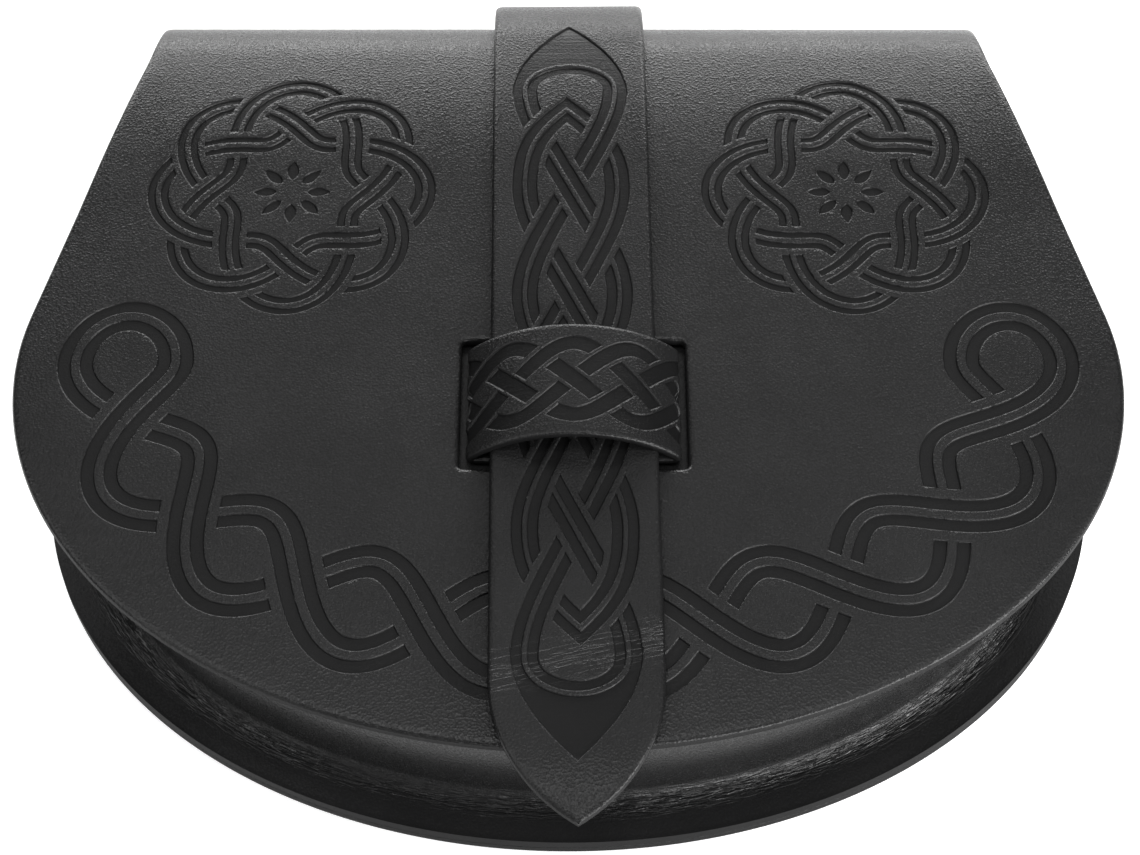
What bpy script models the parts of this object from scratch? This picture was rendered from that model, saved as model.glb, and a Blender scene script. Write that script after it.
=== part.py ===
"""A black leather belt pouch, lying on its back with the flap up.

Metres, +Z up out of the flap, +Y towards the rolled top edge, +X to the wearer's left.
Shapes are worked out about the pouch's widest line (y = 0 there), and one empty then
centres the whole pouch on the origin, which lies on the surface that it rests on.
"""

import math
from collections import namedtuple

import bmesh
import bpy

# Leather and clearances
SHELL_THICK = 0.0024
BODY_THICK = 0.0024
STRAP_THICK = 0.0022
KEEPER_THICK = 0.0016
LOOP_THICK = 0.0022
SEAT_GAP = 0.0003
EDGE_ROUND = 0.0005
SHARP_DEG = 55

# Back panel, top roll and flap: one piece of leather
HALF_WIDTH = 0.1015
ROLL_HALF_WIDTH = 0.083
BOTTOM_REACH = 0.0757
SIDE_REACH = 0.071
SHOULDER = 0.0124
ROLL_BLEND = 0.016
POUCH_DEPTH = 0.0465
FLAP_DROOP = 0.0012

# Moulded front
FLANGE_WIDTH = 0.0045
FOOT_FILLET = 0.0045
WALL_LEAN = 0.005
CROWN_RADIUS = 0.010
MOUTH_SETBACK = 0.004

# Closing strap, its keeper and the window that the keeper stands in
STRAP_WIDTH = 0.030
STRAP_OFFSET = 0.0009
STRAP_SKEW_DEG = 0.5
STRAP_OVERHANG = 0.0140
STRAP_POINT = 0.026
TIP_BEND_RADIUS = 0.045
STRAP_BOW = 0.0035
STRAP_TAIL = 0.045
KEEPER_LENGTH = 0.0236
KEEPER_SIDE_ROOM = 0.0032
KEEPER_TOP_ROOM = 0.0048
KEEPER_ARCH = 0.0115
KEEPER_SETBACK = 0.0677
WINDOW_MARGIN = 0.0018
WINDOW_SIDE_GAP = 0.0006
WINDOW_CORNER = 0.0009

# Belt loops on the back
BELT_GAP = 0.0052
LOOP_WIDTH = 0.028
LOOP_SPACING = 0.096
LOOP_LENGTH = 0.092
LOOP_FOOT = 0.012
LOOP_RAMP = 0.008
LOOP_TOP_SETBACK = 0.006

# Levels above the resting surface
BACK_LEVEL = LOOP_THICK + BELT_GAP
FLAP_LEVEL = BACK_LEVEL + POUCH_DEPTH
ROLL_RADIUS = POUCH_DEPTH / 2
ROLL_LEVEL = BACK_LEVEL + ROLL_RADIUS
RIM_LEVEL = BACK_LEVEL + SHELL_THICK + SEAT_GAP + BODY_THICK
FACE_LEVEL = FLAP_LEVEL - SHELL_THICK - SEAT_GAP

# Sizes that follow from those above
KEEPER_HALF_WIDTH = STRAP_WIDTH / 2 + KEEPER_SIDE_ROOM + KEEPER_THICK
KEEPER_RISE = SEAT_GAP + STRAP_THICK + KEEPER_TOP_ROOM + KEEPER_THICK
TAPER = (HALF_WIDTH - ROLL_HALF_WIDTH) / (SIDE_REACH - SHOULDER / 2 + ROLL_BLEND / 2)

# Places along the pouch
KEEPER_MIDDLE = KEEPER_SETBACK - BOTTOM_REACH
STRAP_TIP = -BOTTOM_REACH - STRAP_OVERHANG
SKEW_RISE = STRAP_WIDTH / 2 * math.sin(math.radians(STRAP_SKEW_DEG))
TOP_REACH = SIDE_REACH + ROLL_RADIUS + SEAT_GAP + STRAP_BOW + STRAP_THICK + SKEW_RISE
FACE_INSET = FLANGE_WIDTH + FOOT_FILLET + WALL_LEAN + CROWN_RADIUS

# Mesh fineness
BOTTOM_ROWS = 18
SIDE_ROWS = 8
ROLL_ROWS = 16
SHEET_COLUMNS = 16
STRAP_COLUMNS = 4
BAND_COLUMNS = 2
FILLET_STEPS = 4
CROWN_STEPS = 6
TIP_ROWS = 12
STRAP_ROWS = 10
TAIL_ROWS = 3
ARCH_STEPS = 22
RAMP_STEPS = 6
WELD = 0.00001
SLOPE_STEP = 0.0001

LEATHER_BLACK = (0.035, 0.035, 0.037, 1.0)
STRAP_BLACK = (0.042, 0.042, 0.045, 1.0)

Row = namedtuple("Row", "half_width y z")
Corner = namedtuple("Corner", "inset z")


def clear_scene():
    """Empties the scene, also of the start-up objects."""
    for old in list(bpy.data.objects):
        bpy.data.objects.remove(old, do_unlink=True)


def leather(name, colour, roughness):
    """A dyed leather finish."""
    material = bpy.data.materials.new(name)
    material.use_nodes = True
    shader = material.node_tree.nodes["Principled BSDF"]
    shader.inputs["Base Color"].default_value = colour
    shader.inputs["Roughness"].default_value = roughness
    shader.inputs["Metallic"].default_value = 0.0
    return material


def add_object(name, mesh, material, collection, origin):
    """Links a mesh as a named piece of the pouch."""
    piece = bpy.data.objects.new(name, mesh)
    mesh.materials.append(material)
    collection.objects.link(piece)
    piece.parent = origin
    return piece


def outline_half_width(reach):
    """Half the width of the leather at a distance above the widest line (below it, negative).

    An ellipse below, then a soft shoulder, straight sides that taper, and the waist of the roll.
    """
    if reach < 0:
        return HALF_WIDTH * math.sqrt(max(0.0, 1 - (reach / BOTTOM_REACH) ** 2))
    if reach < SHOULDER:
        return HALF_WIDTH - TAPER * reach * reach / (2 * SHOULDER)
    if reach < SIDE_REACH:
        return HALF_WIDTH - TAPER * (reach - SHOULDER / 2)
    left = max(0.0, 1 - (reach - SIDE_REACH) / ROLL_BLEND)
    return ROLL_HALF_WIDTH + TAPER * ROLL_BLEND / 2 * left * left


def outline_rows():
    """The y of each row of the outline, from the bottom edge up to where the roll begins."""
    below = [-BOTTOM_REACH * math.cos(math.pi / 2 * i / BOTTOM_ROWS) for i in range(BOTTOM_ROWS)]
    shoulder = [0.0, SHOULDER / 2]
    side = [SHOULDER + (SIDE_REACH - SHOULDER) * i / SIDE_ROWS for i in range(SIDE_ROWS + 1)]
    return below + shoulder + side


def inset_from_edge(x, y):
    """About how far a point of the flap lies inside its outline."""
    if y >= 0:
        return outline_half_width(y) - abs(x)
    reach = math.hypot(x / HALF_WIDTH, y / BOTTOM_REACH)
    return math.hypot(x, y) * (1 / reach - 1)


def droop(x, y):
    """How far the unsupported border of the flap hangs below its middle."""
    if y > SIDE_REACH:
        return 0.0
    share = max(0.0, 1 - inset_from_edge(x, y) / FACE_INSET)
    held = min(1.0, (SIDE_REACH - y) / (SIDE_REACH / 2))
    return FLAP_DROOP * share * share * held


def sheet_mesh(name, rows, columns, place):
    """A grid of leather with a row for each entry of rows; place(row, share across) gives a point."""
    sheet = bmesh.new()
    bmesh.ops.create_grid(sheet, x_segments=columns, y_segments=len(rows) - 1, size=1)
    for corner in sheet.verts:
        index = round((corner.co.y + 1) / 2 * (len(rows) - 1))
        corner.co = place(rows[index], corner.co.x)
    bmesh.ops.remove_doubles(sheet, verts=sheet.verts, dist=WELD)
    bmesh.ops.dissolve_degenerate(sheet, edges=sheet.edges, dist=WELD)
    mesh = bpy.data.meshes.new(name)
    sheet.to_mesh(mesh)
    sheet.free()
    return mesh


def thicken(piece, thickness):
    """Gives a sheet its thickness, away from the side that its faces point to."""
    wall = piece.modifiers.new("thickness", "SOLIDIFY")
    wall.thickness = thickness
    wall.offset = -1
    wall.use_even_offset = True


def round_edges(piece):
    """Rubs down the cut edges of the leather."""
    bevel = piece.modifiers.new("rubbed_edge", "BEVEL")
    bevel.width = EDGE_ROUND
    bevel.segments = 1
    bevel.limit_method = "ANGLE"
    bevel.angle_limit = math.radians(SHARP_DEG)
    piece.data.shade_smooth()


def arc(centre_y, centre_z, radius, start_deg, end_deg, steps):
    """Points (y, z) along an arc, both ends included. 0 degrees is +Y and 90 is +Z."""
    points = []
    for i in range(steps + 1):
        angle = math.radians(start_deg + (end_deg - start_deg) * i / steps)
        points.append((centre_y + radius * math.cos(angle), centre_z + radius * math.sin(angle)))
    return points


def shell_rows():
    """Rows of the outer face: up the flap, round the roll and down the back."""
    flap = [Row(outline_half_width(y), y, FLAP_LEVEL) for y in outline_rows()]
    back = [Row(half_width, y, BACK_LEVEL) for half_width, y, _ in reversed(flap)]
    roll = []
    for i in range(1, ROLL_ROWS):
        turn = math.pi * i / ROLL_ROWS
        from_flat = ROLL_RADIUS * min(turn, math.pi - turn)
        y = SIDE_REACH + ROLL_RADIUS * math.sin(turn)
        z = ROLL_LEVEL + ROLL_RADIUS * math.cos(turn)
        roll.append(Row(outline_half_width(SIDE_REACH + from_flat), y, z))
    return flap + roll + back


def build_shell(material, collection, cutters, origin):
    """The back panel, the roll over the top and the flap, with the keeper's window cut through."""

    def place(row, share):
        x = share * row.half_width
        fall = droop(x, row.y) if row.z > ROLL_LEVEL else 0.0
        return (x, row.y, row.z - fall)

    mesh = sheet_mesh("back_flap", shell_rows(), SHEET_COLUMNS, place)
    piece = add_object("back_flap", mesh, material, collection, origin)
    thicken(piece, SHELL_THICK)
    window = piece.modifiers.new("window", "BOOLEAN")
    window.object = window_cutter(cutters, origin)
    window.operation = "DIFFERENCE"
    round_edges(piece)
    return piece


def window_cutter(cutters, origin):
    """The block that cuts the window out of the flap."""
    half_x = KEEPER_HALF_WIDTH + WINDOW_SIDE_GAP
    half_y = KEEPER_LENGTH / 2 + WINDOW_MARGIN
    block = bmesh.new()
    bmesh.ops.create_cube(block, size=2)
    upright = [edge for edge in block.edges if abs(edge.verts[0].co.z - edge.verts[1].co.z) > 1]
    bmesh.ops.scale(block, vec=(half_x, half_y, SHELL_THICK * 2), verts=block.verts)
    bmesh.ops.bevel(
        block, geom=upright, offset=WINDOW_CORNER, segments=2, profile=0.5, affect="EDGES", material=-1
    )
    mesh = bpy.data.meshes.new("window_cutter")
    block.to_mesh(mesh)
    block.free()
    cutter = bpy.data.objects.new("window_cutter", mesh)
    cutter.location = (STRAP_OFFSET, KEEPER_MIDDLE, FLAP_LEVEL - SHELL_THICK / 2)
    cutter.parent = origin
    cutter.hide_render = True
    cutter.display_type = "WIRE"
    cutters.objects.link(cutter)
    return cutter


def body_section():
    """Corners across the moulded front, from the rim inwards: flange, foot fillet, wall, crown."""
    wall_top_inset = FLANGE_WIDTH + FOOT_FILLET + WALL_LEAN
    wall_height = FACE_LEVEL - RIM_LEVEL - FOOT_FILLET - CROWN_RADIUS
    half_lean = math.degrees(math.atan2(WALL_LEAN, wall_height)) / 2
    foot = arc(FLANGE_WIDTH, RIM_LEVEL + FOOT_FILLET, FOOT_FILLET, -90, -half_lean, FILLET_STEPS)
    crown_middle = wall_top_inset + CROWN_RADIUS
    crown = arc(crown_middle, FACE_LEVEL - CROWN_RADIUS, CROWN_RADIUS, 180 - half_lean, 90, CROWN_STEPS)
    return [Corner(0.0, RIM_LEVEL)] + [Corner(inset, z) for inset, z in foot + crown]


def outward(y):
    """The direction (x, y) that the right-hand outline faces at y, of unit length."""
    if y < 0:
        across, along = outline_half_width(y) / HALF_WIDTH**2, y / BOTTOM_REACH**2
    else:
        gain = outline_half_width(y + SLOPE_STEP) - outline_half_width(y)
        across, along = SLOPE_STEP, -gain
    length = math.hypot(across, along)
    return across / length, along / length


def build_body(material, collection, origin):
    """The moulded front: a tray open at the back and at the top, with a flange round its foot."""
    section = body_section()
    top = section[-1]

    def place(y, share):
        column = round((share + 1) / 2 * len(section))
        across, along = outward(y)
        if column == len(section):
            return (0.0, y - top.inset * along, top.z)
        corner = section[column]
        return (outline_half_width(y) - corner.inset * across, y - corner.inset * along, corner.z)

    mesh = sheet_mesh("front_body", list(reversed(outline_rows())), len(section), place)
    cut_at_mouth(mesh)
    piece = add_object("front_body", mesh, material, collection, origin)
    halves = piece.modifiers.new("halves", "MIRROR")
    halves.merge_threshold = WELD
    halves.use_clip = True
    thicken(piece, BODY_THICK)
    round_edges(piece)
    return piece


def cut_at_mouth(mesh):
    """Trims the moulded front square where the pouch opens."""
    sheet = bmesh.new()
    sheet.from_mesh(mesh)
    geometry = sheet.verts[:] + sheet.edges[:] + sheet.faces[:]
    mouth = (0, SIDE_REACH - MOUTH_SETBACK, 0)
    bmesh.ops.bisect_plane(sheet, geom=geometry, plane_co=mouth, plane_no=(0, 1, 0), clear_outer=True)
    sheet.to_mesh(mesh)
    sheet.free()


def strap_half_width(reach):
    """Half the strap's width at a distance from its tip: two arcs that meet in a point."""
    half = STRAP_WIDTH / 2
    if reach >= STRAP_POINT:
        return half
    radius = (half**2 + STRAP_POINT**2) / STRAP_WIDTH
    return half - radius + math.sqrt(radius**2 - (STRAP_POINT - reach) ** 2)


def strap_rows():
    """Rows of the strap's outer face, from its tip to its tail on the back."""
    level = FLAP_LEVEL + SEAT_GAP + STRAP_THICK
    half = STRAP_WIDTH / 2
    rows = []
    for i in range(TIP_ROWS + 1):
        reach = STRAP_POINT * (1 - math.cos(math.pi / 2 * i / TIP_ROWS))
        y = STRAP_TIP + reach
        past = max(0.0, -BOTTOM_REACH - y)
        fall = TIP_BEND_RADIUS - math.sqrt(TIP_BEND_RADIUS**2 - past**2)
        rows.append(Row(strap_half_width(reach), y, level - fall))
    start = STRAP_TIP + STRAP_POINT
    for i in range(1, STRAP_ROWS + 1):
        rows.append(Row(half, start + (SIDE_REACH - start) * i / STRAP_ROWS, level))
    for i in range(1, ROLL_ROWS + 1):
        turn = math.pi * i / ROLL_ROWS
        radius = ROLL_RADIUS + SEAT_GAP + STRAP_THICK + STRAP_BOW * math.sin(turn) ** 2
        rows.append(Row(half, SIDE_REACH + radius * math.sin(turn), ROLL_LEVEL + radius * math.cos(turn)))
    tail_level = BACK_LEVEL - SEAT_GAP - STRAP_THICK
    for i in range(1, TAIL_ROWS + 1):
        rows.append(Row(half, SIDE_REACH - STRAP_TAIL * i / TAIL_ROWS, tail_level))
    return rows


def build_strap(material, collection, origin):
    """The closing strap: sewn to the back, over the roll, through the keeper to a point."""

    def place(row, share):
        return (share * row.half_width, row.y - KEEPER_MIDDLE, row.z)

    mesh = sheet_mesh("strap", strap_rows(), STRAP_COLUMNS, place)
    piece = add_object("strap", mesh, material, collection, origin)
    piece.location = (STRAP_OFFSET, KEEPER_MIDDLE, 0)
    piece.rotation_euler.z = math.radians(STRAP_SKEW_DEG)
    thicken(piece, STRAP_THICK)
    round_edges(piece)
    return piece


def keeper_path():
    """(across, height) round the outside of the keeper, clockwise from the middle of its foot."""
    foot = FACE_LEVEL + SEAT_GAP
    corner = KEEPER_THICK
    arch_level = FLAP_LEVEL + KEEPER_RISE - KEEPER_ARCH
    start = math.asin(max(0.0, foot + corner - arch_level) / KEEPER_ARCH)
    arch = []
    for i in range(ARCH_STEPS + 1):
        angle = math.pi - start - (math.pi - 2 * start) * i / ARCH_STEPS
        height = arch_level + KEEPER_ARCH * math.sin(angle)
        arch.append((KEEPER_HALF_WIDTH * math.cos(angle), height))
    side = KEEPER_HALF_WIDTH - corner
    return [(0.0, foot), (-side, foot)] + arch + [(side, foot), (0.0, foot)]


def build_keeper(material, collection, origin):
    """The arched leather loop that stands on the front, comes up through the window and holds the strap."""

    def place(row, share):
        across, z = row
        return (across, share * -KEEPER_LENGTH / 2, z)

    mesh = sheet_mesh("keeper", keeper_path(), BAND_COLUMNS, place)
    piece = add_object("keeper", mesh, material, collection, origin)
    piece.location = (STRAP_OFFSET, KEEPER_MIDDLE, 0)
    thicken(piece, KEEPER_THICK)
    round_edges(piece)
    return piece


def loop_rows():
    """Rows (y, z) of a belt loop's outer face, from its upper foot to its lower one."""
    foot_level = BACK_LEVEL - SEAT_GAP - LOOP_THICK
    half = LOOP_LENGTH / 2
    upper = [(half, foot_level)]
    for i in range(RAMP_STEPS + 1):
        share = i / RAMP_STEPS
        blend = share * share * (3 - 2 * share)
        upper.append((half - LOOP_FOOT - LOOP_RAMP * share, foot_level * (1 - blend)))
    lower = [(-y, z) for y, z in reversed(upper)]
    return upper + lower


def build_belt_loop(name, side, material, collection, origin):
    """A belt loop: a leather strip with both ends sewn to the back and room for a belt behind it."""

    def place(row, share):
        y, z = row
        return (share * LOOP_WIDTH / 2, y, z)

    mesh = sheet_mesh(name, loop_rows(), BAND_COLUMNS, place)
    piece = add_object(name, mesh, material, collection, origin)
    middle = SIDE_REACH - LOOP_TOP_SETBACK - LOOP_LENGTH / 2
    piece.location = (side * LOOP_SPACING / 2, middle, 0)
    thicken(piece, LOOP_THICK)
    round_edges(piece)
    return piece


def main():
    """Builds the pouch, piece by piece."""
    clear_scene()
    pouch = bpy.data.collections.new("belt_pouch")
    cutters = bpy.data.collections.new("cutters")
    for collection in (pouch, cutters):
        bpy.context.scene.collection.children.link(collection)
    origin = bpy.data.objects.new("pouch_origin", None)
    origin.location.y = -(TOP_REACH + STRAP_TIP) / 2
    pouch.objects.link(origin)

    shell_leather = leather("shell_leather", LEATHER_BLACK, 0.5)
    body_leather = leather("body_leather", LEATHER_BLACK, 0.4)
    strap_leather = leather("strap_leather", STRAP_BLACK, 0.5)
    build_shell(shell_leather, pouch, cutters, origin)
    build_body(body_leather, pouch, origin)
    build_strap(strap_leather, pouch, origin)
    build_keeper(strap_leather, pouch, origin)
    build_belt_loop("belt_loop_left", 1, shell_leather, pouch, origin)
    build_belt_loop("belt_loop_right", -1, shell_leather, pouch, origin)


main()
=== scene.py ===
"""The looks of a black leather belt pouch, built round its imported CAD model.

Flat pieces of leather are cut and pressed in a flat layout, as at the bench, and then bent into place.
Lengths are in metres. In the flat layout u runs across a piece and v along it.
"""

import logging
import math
from dataclasses import dataclass, field
from enum import Enum
from typing import Callable, Iterable, Sequence

import bmesh
import bpy
import numpy as np
from mathutils import Matrix, Vector, noise
from mathutils.geometry import delaunay_2d_cdt

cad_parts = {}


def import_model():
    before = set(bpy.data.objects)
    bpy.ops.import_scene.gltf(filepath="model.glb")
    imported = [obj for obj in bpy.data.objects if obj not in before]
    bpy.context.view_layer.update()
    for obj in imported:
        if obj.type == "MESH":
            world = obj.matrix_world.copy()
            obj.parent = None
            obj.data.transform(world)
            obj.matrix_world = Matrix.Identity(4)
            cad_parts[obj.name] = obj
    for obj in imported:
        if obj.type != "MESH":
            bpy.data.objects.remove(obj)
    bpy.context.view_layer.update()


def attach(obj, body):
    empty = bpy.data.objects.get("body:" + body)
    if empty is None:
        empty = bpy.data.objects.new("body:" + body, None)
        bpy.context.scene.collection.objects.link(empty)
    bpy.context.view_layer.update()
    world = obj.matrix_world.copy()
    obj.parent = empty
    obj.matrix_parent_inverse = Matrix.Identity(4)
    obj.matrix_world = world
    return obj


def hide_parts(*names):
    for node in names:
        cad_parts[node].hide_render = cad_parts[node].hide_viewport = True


log = logging.getLogger("pouch")
MM = 0.001
Point = tuple[float, float]
Bend = Callable[[float, float, float], Vector]


@dataclass(frozen=True)
class WallLine:
    """One line along a rounded edge: its distance inside the outline and its share of the fall."""

    inset: float
    fall: float


# The wall of a pressed band, in metres inside its outline
WALL = (WallLine(0.0, 0.0), WallLine(0.00013, 0.12), WallLine(0.00026, 0.45), WallLine(0.00036, 1.0))
# How far the rounded shoulders of a band reach beyond its strips
SHOULDER = 0.00015
# A cut edge that is rubbed round, in halves of the leather's thickness inside the outline
EDGE = (
    WallLine(0.0, 1.0),
    WallLine(0.02, 0.76),
    WallLine(0.09, 0.52),
    WallLine(0.22, 0.31),
    WallLine(0.45, 0.15),
    WallLine(0.80, 0.05),
    WallLine(1.25, 0.0),
)
PRESS_DEPTH = 0.00035
PLAIT_STEP = 0.0007
BORDER_STEP = 0.0008
STRAND_STEPS = 120
TURN_STEPS = 24
# How full the round turns of a plait are
TURN_FULLNESS = 0.62
# The least cosines of half a turn whose mitre is followed, for a band and for a plain outline
BAND_MITRE = 0.3
OUTLINE_MITRE = 0.35
# Points of a layout nearer than this are one
SAME_POINT = 2e-6
# How near a corner of the layout snaps to a line, in millimetres
LAYOUT_SNAP = 1e-4
SAME_CORNER = 1e-6


class Slot(Enum):
    """The material slots of the record."""

    SHELL = "shell_leather"
    BODY = "body_leather"
    STRAP = "strap_leather"


@dataclass(frozen=True)
class PouchSizes:
    """Sizes that the pieces share, the same as in the CAD source."""

    half_width: float = 0.1015
    roll_half_width: float = 0.083
    bottom_reach: float = 0.0757
    side_reach: float = 0.071
    shoulder: float = 0.0124
    roll_blend: float = 0.016
    depth: float = 0.0465
    flap_droop: float = 0.0012
    leather: float = 0.0024
    strap_thick: float = 0.0022
    strap_width: float = 0.030
    strap_offset: float = 0.0009
    seat_gap: float = 0.0003
    keeper_length: float = 0.0236
    keeper_middle: float = -0.0080
    loop_thick: float = 0.0022
    belt_gap: float = 0.0052
    face_inset: float = 0.024
    origin_y: float = -0.00534
    fold_start: float = 0.046
    fold_tilt_deg: float = 10
    fold_centre: float = 0.0731
    fall_steps: int = 24
    turn_steps: int = 120

    @property
    def back_level(self) -> float:
        """Height of the back's outer face."""
        return self.loop_thick + self.belt_gap

    @property
    def flap_level(self) -> float:
        """Height of the flap's outer face."""
        return self.back_level + self.depth

    @property
    def roll_radius(self) -> float:
        """Radius of the fold over the top."""
        return self.depth / 2

    @property
    def fold_drop(self) -> float:
        """What the square of the way past the fold's start is multiplied by to give the flap's fall.

        Returns:
            The factor.
        """
        tilt = math.radians(self.fold_tilt_deg)
        reach = self.fold_centre - self.fold_start
        radius = (self.depth - reach * math.tan(tilt) / 2) / (
            1 + math.cos(tilt) + math.sin(tilt) * math.tan(tilt) / 2
        )
        return math.tan(tilt) / (2 * (reach + radius * math.sin(tilt)))

    def fold(self) -> "Profile":
        """The outer face from the side, from where the flap starts to fall to where the back is flat.

        Returns:
            The path of the outer face.
        """
        tilt = math.radians(self.fold_tilt_deg)
        length = math.tan(tilt) / (2 * self.fold_drop)
        points = []
        for i in range(self.fall_steps):
            past = length * i / self.fall_steps
            points.append((self.fold_start + past, self.flap_level - self.fold_drop * past**2))
        radius = (self.depth - self.fold_drop * length**2) / (1 + math.cos(tilt))
        for i in range(self.turn_steps + 1):
            turn = tilt + (math.pi - tilt) * i / self.turn_steps
            y = self.fold_centre + radius * math.sin(turn)
            points.append((y, self.back_level + radius * (1 + math.cos(turn))))
        return Profile(points)

    @property
    def face_level(self) -> float:
        """Height of the moulded front's flat face."""
        return self.flap_level - self.leather - self.seat_gap

    @property
    def rim_level(self) -> float:
        """Height of the front's flange, on its outer side."""
        return self.back_level + 2 * self.leather + self.seat_gap

    @property
    def taper(self) -> float:
        """How fast the straight sides draw in towards the fold.

        Returns:
            The half width lost for each metre.
        """
        return (self.half_width - self.roll_half_width) / (
            self.side_reach - self.shoulder / 2 + self.roll_blend / 2
        )

    def edge(self, reach: float) -> float:
        """Half the width of the leather at a distance above the widest line.

        Args:
            reach: distance along the leather, negative below the widest line.

        Returns:
            The half width there.
        """
        if reach < 0:
            return self.half_width * math.sqrt(max(0.0, 1 - (reach / self.bottom_reach) ** 2))
        if reach < self.shoulder:
            return self.half_width - self.taper * reach * reach / (2 * self.shoulder)
        if reach < self.side_reach:
            return self.half_width - self.taper * (reach - self.shoulder / 2)
        left = max(0.0, 1 - (reach - self.side_reach) / self.roll_blend)
        return self.roll_half_width + self.taper * self.roll_blend / 2 * left * left

    def inset_from_edge(self, x: float, y: float) -> float:
        """About how far a point of the flap lies inside its outline.

        Args:
            x: across, from the middle line.
            y: along, from the widest line.

        Returns:
            The distance to the cut edge.
        """
        if y >= 0:
            return self.edge(y) - abs(x)
        reach = max(1e-9, math.hypot(x / self.half_width, y / self.bottom_reach))
        return math.hypot(x, y) * (1 / reach - 1)

    def droop(self, x: float, y: float) -> float:
        """How far the border of the flap hangs below its middle.

        Args:
            x: across, from the middle line.
            y: along, from the widest line.

        Returns:
            The fall below the flap's level.
        """
        if y > self.side_reach:
            return 0.0
        share = min(1.0, max(0.0, 1 - self.inset_from_edge(x, y) / self.face_inset))
        held = min(1.0, (self.side_reach - y) / (self.side_reach / 2))
        return self.flap_droop * share * share * held


SIZES = PouchSizes()


# Pressed bands in the flat layout


def ways_and_mitres(line: np.ndarray, sharpest: float) -> tuple[np.ndarray, np.ndarray]:
    """The way along a closed line at each point, and how far a mitre reaches there.

    Args:
        line: the points, in order.
        sharpest: the least cosine of half the turn that a mitre follows.

    Returns:
        The unit ways, and for each the share by which a line beside it lies further out.
    """
    before = line - np.roll(line, 1, axis=0)
    after = np.roll(line, -1, axis=0) - line
    before /= np.linalg.norm(before, axis=1)[:, None]
    after /= np.linalg.norm(after, axis=1)[:, None]
    middle = before + after
    middle /= np.linalg.norm(middle, axis=1)[:, None]
    return middle, 1 / np.maximum(sharpest, (before * middle).sum(1))


@dataclass(frozen=True)
class BandTool:
    """The stamp of a band: one strip, or two with a raised line between them."""

    strip: float
    ridge: float
    gap: float

    @property
    def half(self) -> float:
        """Half the whole band's width."""
        return self.strip + self.ridge / 2 if self.ridge else self.strip / 2

    def strips(self) -> list[tuple[float, float]]:
        """The strips with their rounded shoulders, as pairs of distances from the centre line.

        Returns:
            A pair for each strip.
        """
        if not self.ridge:
            return [(-self.strip / 2 - SHOULDER, self.strip / 2 + SHOULDER)]
        inner = self.ridge / 2 - SHOULDER
        return [(-inner - self.strip, -inner), (inner, inner + self.strip)]


class Course:
    """The closed centre line of a band, its points evenly spaced between its sharp corners."""

    # How far round a sharp corner a line beside it is kept on its own side, in distances from the line
    corner_reach: int = 3

    def __init__(self, points: Sequence[Point], corners: Iterable[int], step: float) -> None:
        """Spaces the points.

        Args:
            points: the line, without its first point again at the end.
            corners: which of the points are sharp corners.
            step: about how far apart the points come.
        """
        line = np.array(points, float)
        starts = sorted(corners) or [0]
        spaced: list[np.ndarray] = []
        self.corners: list[int] = []
        for i, start in enumerate(starts):
            end = starts[(i + 1) % len(starts)]
            count = (end - start) % len(line) or len(line)
            span = line[[(start + k) % len(line) for k in range(count + 1)]]
            along = np.concatenate([[0], np.cumsum(np.hypot(*np.diff(span, axis=0).T))])
            places = np.linspace(0, along[-1], max(3, round(along[-1] / step)) + 1)[:-1]
            if corners:
                self.corners.append(sum(len(part) for part in spaced))
            spaced.append(np.column_stack([np.interp(places, along, span[:, k]) for k in (0, 1)]))
        self.points = np.vstack(spaced)
        self.step = step
        self.tangents, self.mitres = ways_and_mitres(self.points, BAND_MITRE)

    def __len__(self) -> int:
        """The number of points."""
        return len(self.points)

    def beside(self, index: int, distance: float) -> Point:
        """The point at a distance to the left of the line, kept on its own side of a sharp corner.

        Args:
            index: which point of the line, counted round.
            distance: how far to the left, or to the right if negative.

        Returns:
            The place in the flat layout.
        """
        n = len(self)
        i = index % n
        tangent = self.tangents[i]
        place = self.points[i] + np.array([-tangent[1], tangent[0]]) * distance * self.mitres[i]
        for corner in self.corners:
            ahead = (corner - i) % n
            side = -1 if ahead <= n // 2 else 1
            if i == corner or min(ahead, n - ahead) * self.step > self.corner_reach * abs(distance):
                continue
            way = self.tangents[corner]
            if float((place - self.points[corner]) @ way) * side < 0:
                normal = np.array([-way[1], way[0]])
                place = self.points[corner] + normal * distance * self.mitres[corner]
        return float(place[0]), float(place[1])


@dataclass(frozen=True)
class Crossing:
    """Where one strand passes over another: the strands' courses and the places on them."""

    over: tuple[int, float]
    under: tuple[int, float]


@dataclass
class Pressing:
    """Outlines for the flat layout, each with its run and its line of the wall, and covers for each line."""

    cells: list[tuple[list[Point], int, int]] = field(default_factory=list)
    covers: list[list[list[Point]]] = field(default_factory=list)
    hidden_by: list[set[int]] = field(default_factory=list)

    def add_shape(self, outline: list[Point]) -> None:
        """Presses one plain outline, given in order against the clock.

        Args:
            outline: the shape's corners.
        """
        self.hidden_by.append(set())
        run = len(self.hidden_by) - 1
        for k, line in enumerate(WALL):
            self.cells.append((offset_loop(outline, line.inset), run, k))

    def join(self, other: "Pressing") -> None:
        """Adds all of another pressing to this one.

        Args:
            other: the pressing to add.
        """
        runs, covers = len(self.hidden_by), len(self.covers)
        self.cells += [(outline, run + runs, line) for outline, run, line in other.cells]
        self.covers += other.covers
        self.hidden_by += [{cover + covers for cover in hidden} for hidden in other.hidden_by]


def signed_area(loop: Sequence[Point]) -> float:
    """The area inside a closed line, negative where it runs with the clock."""
    return sum(a[0] * b[1] - b[0] * a[1] for a, b in zip(loop, [*loop[1:], loop[0]])) / 2


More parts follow.
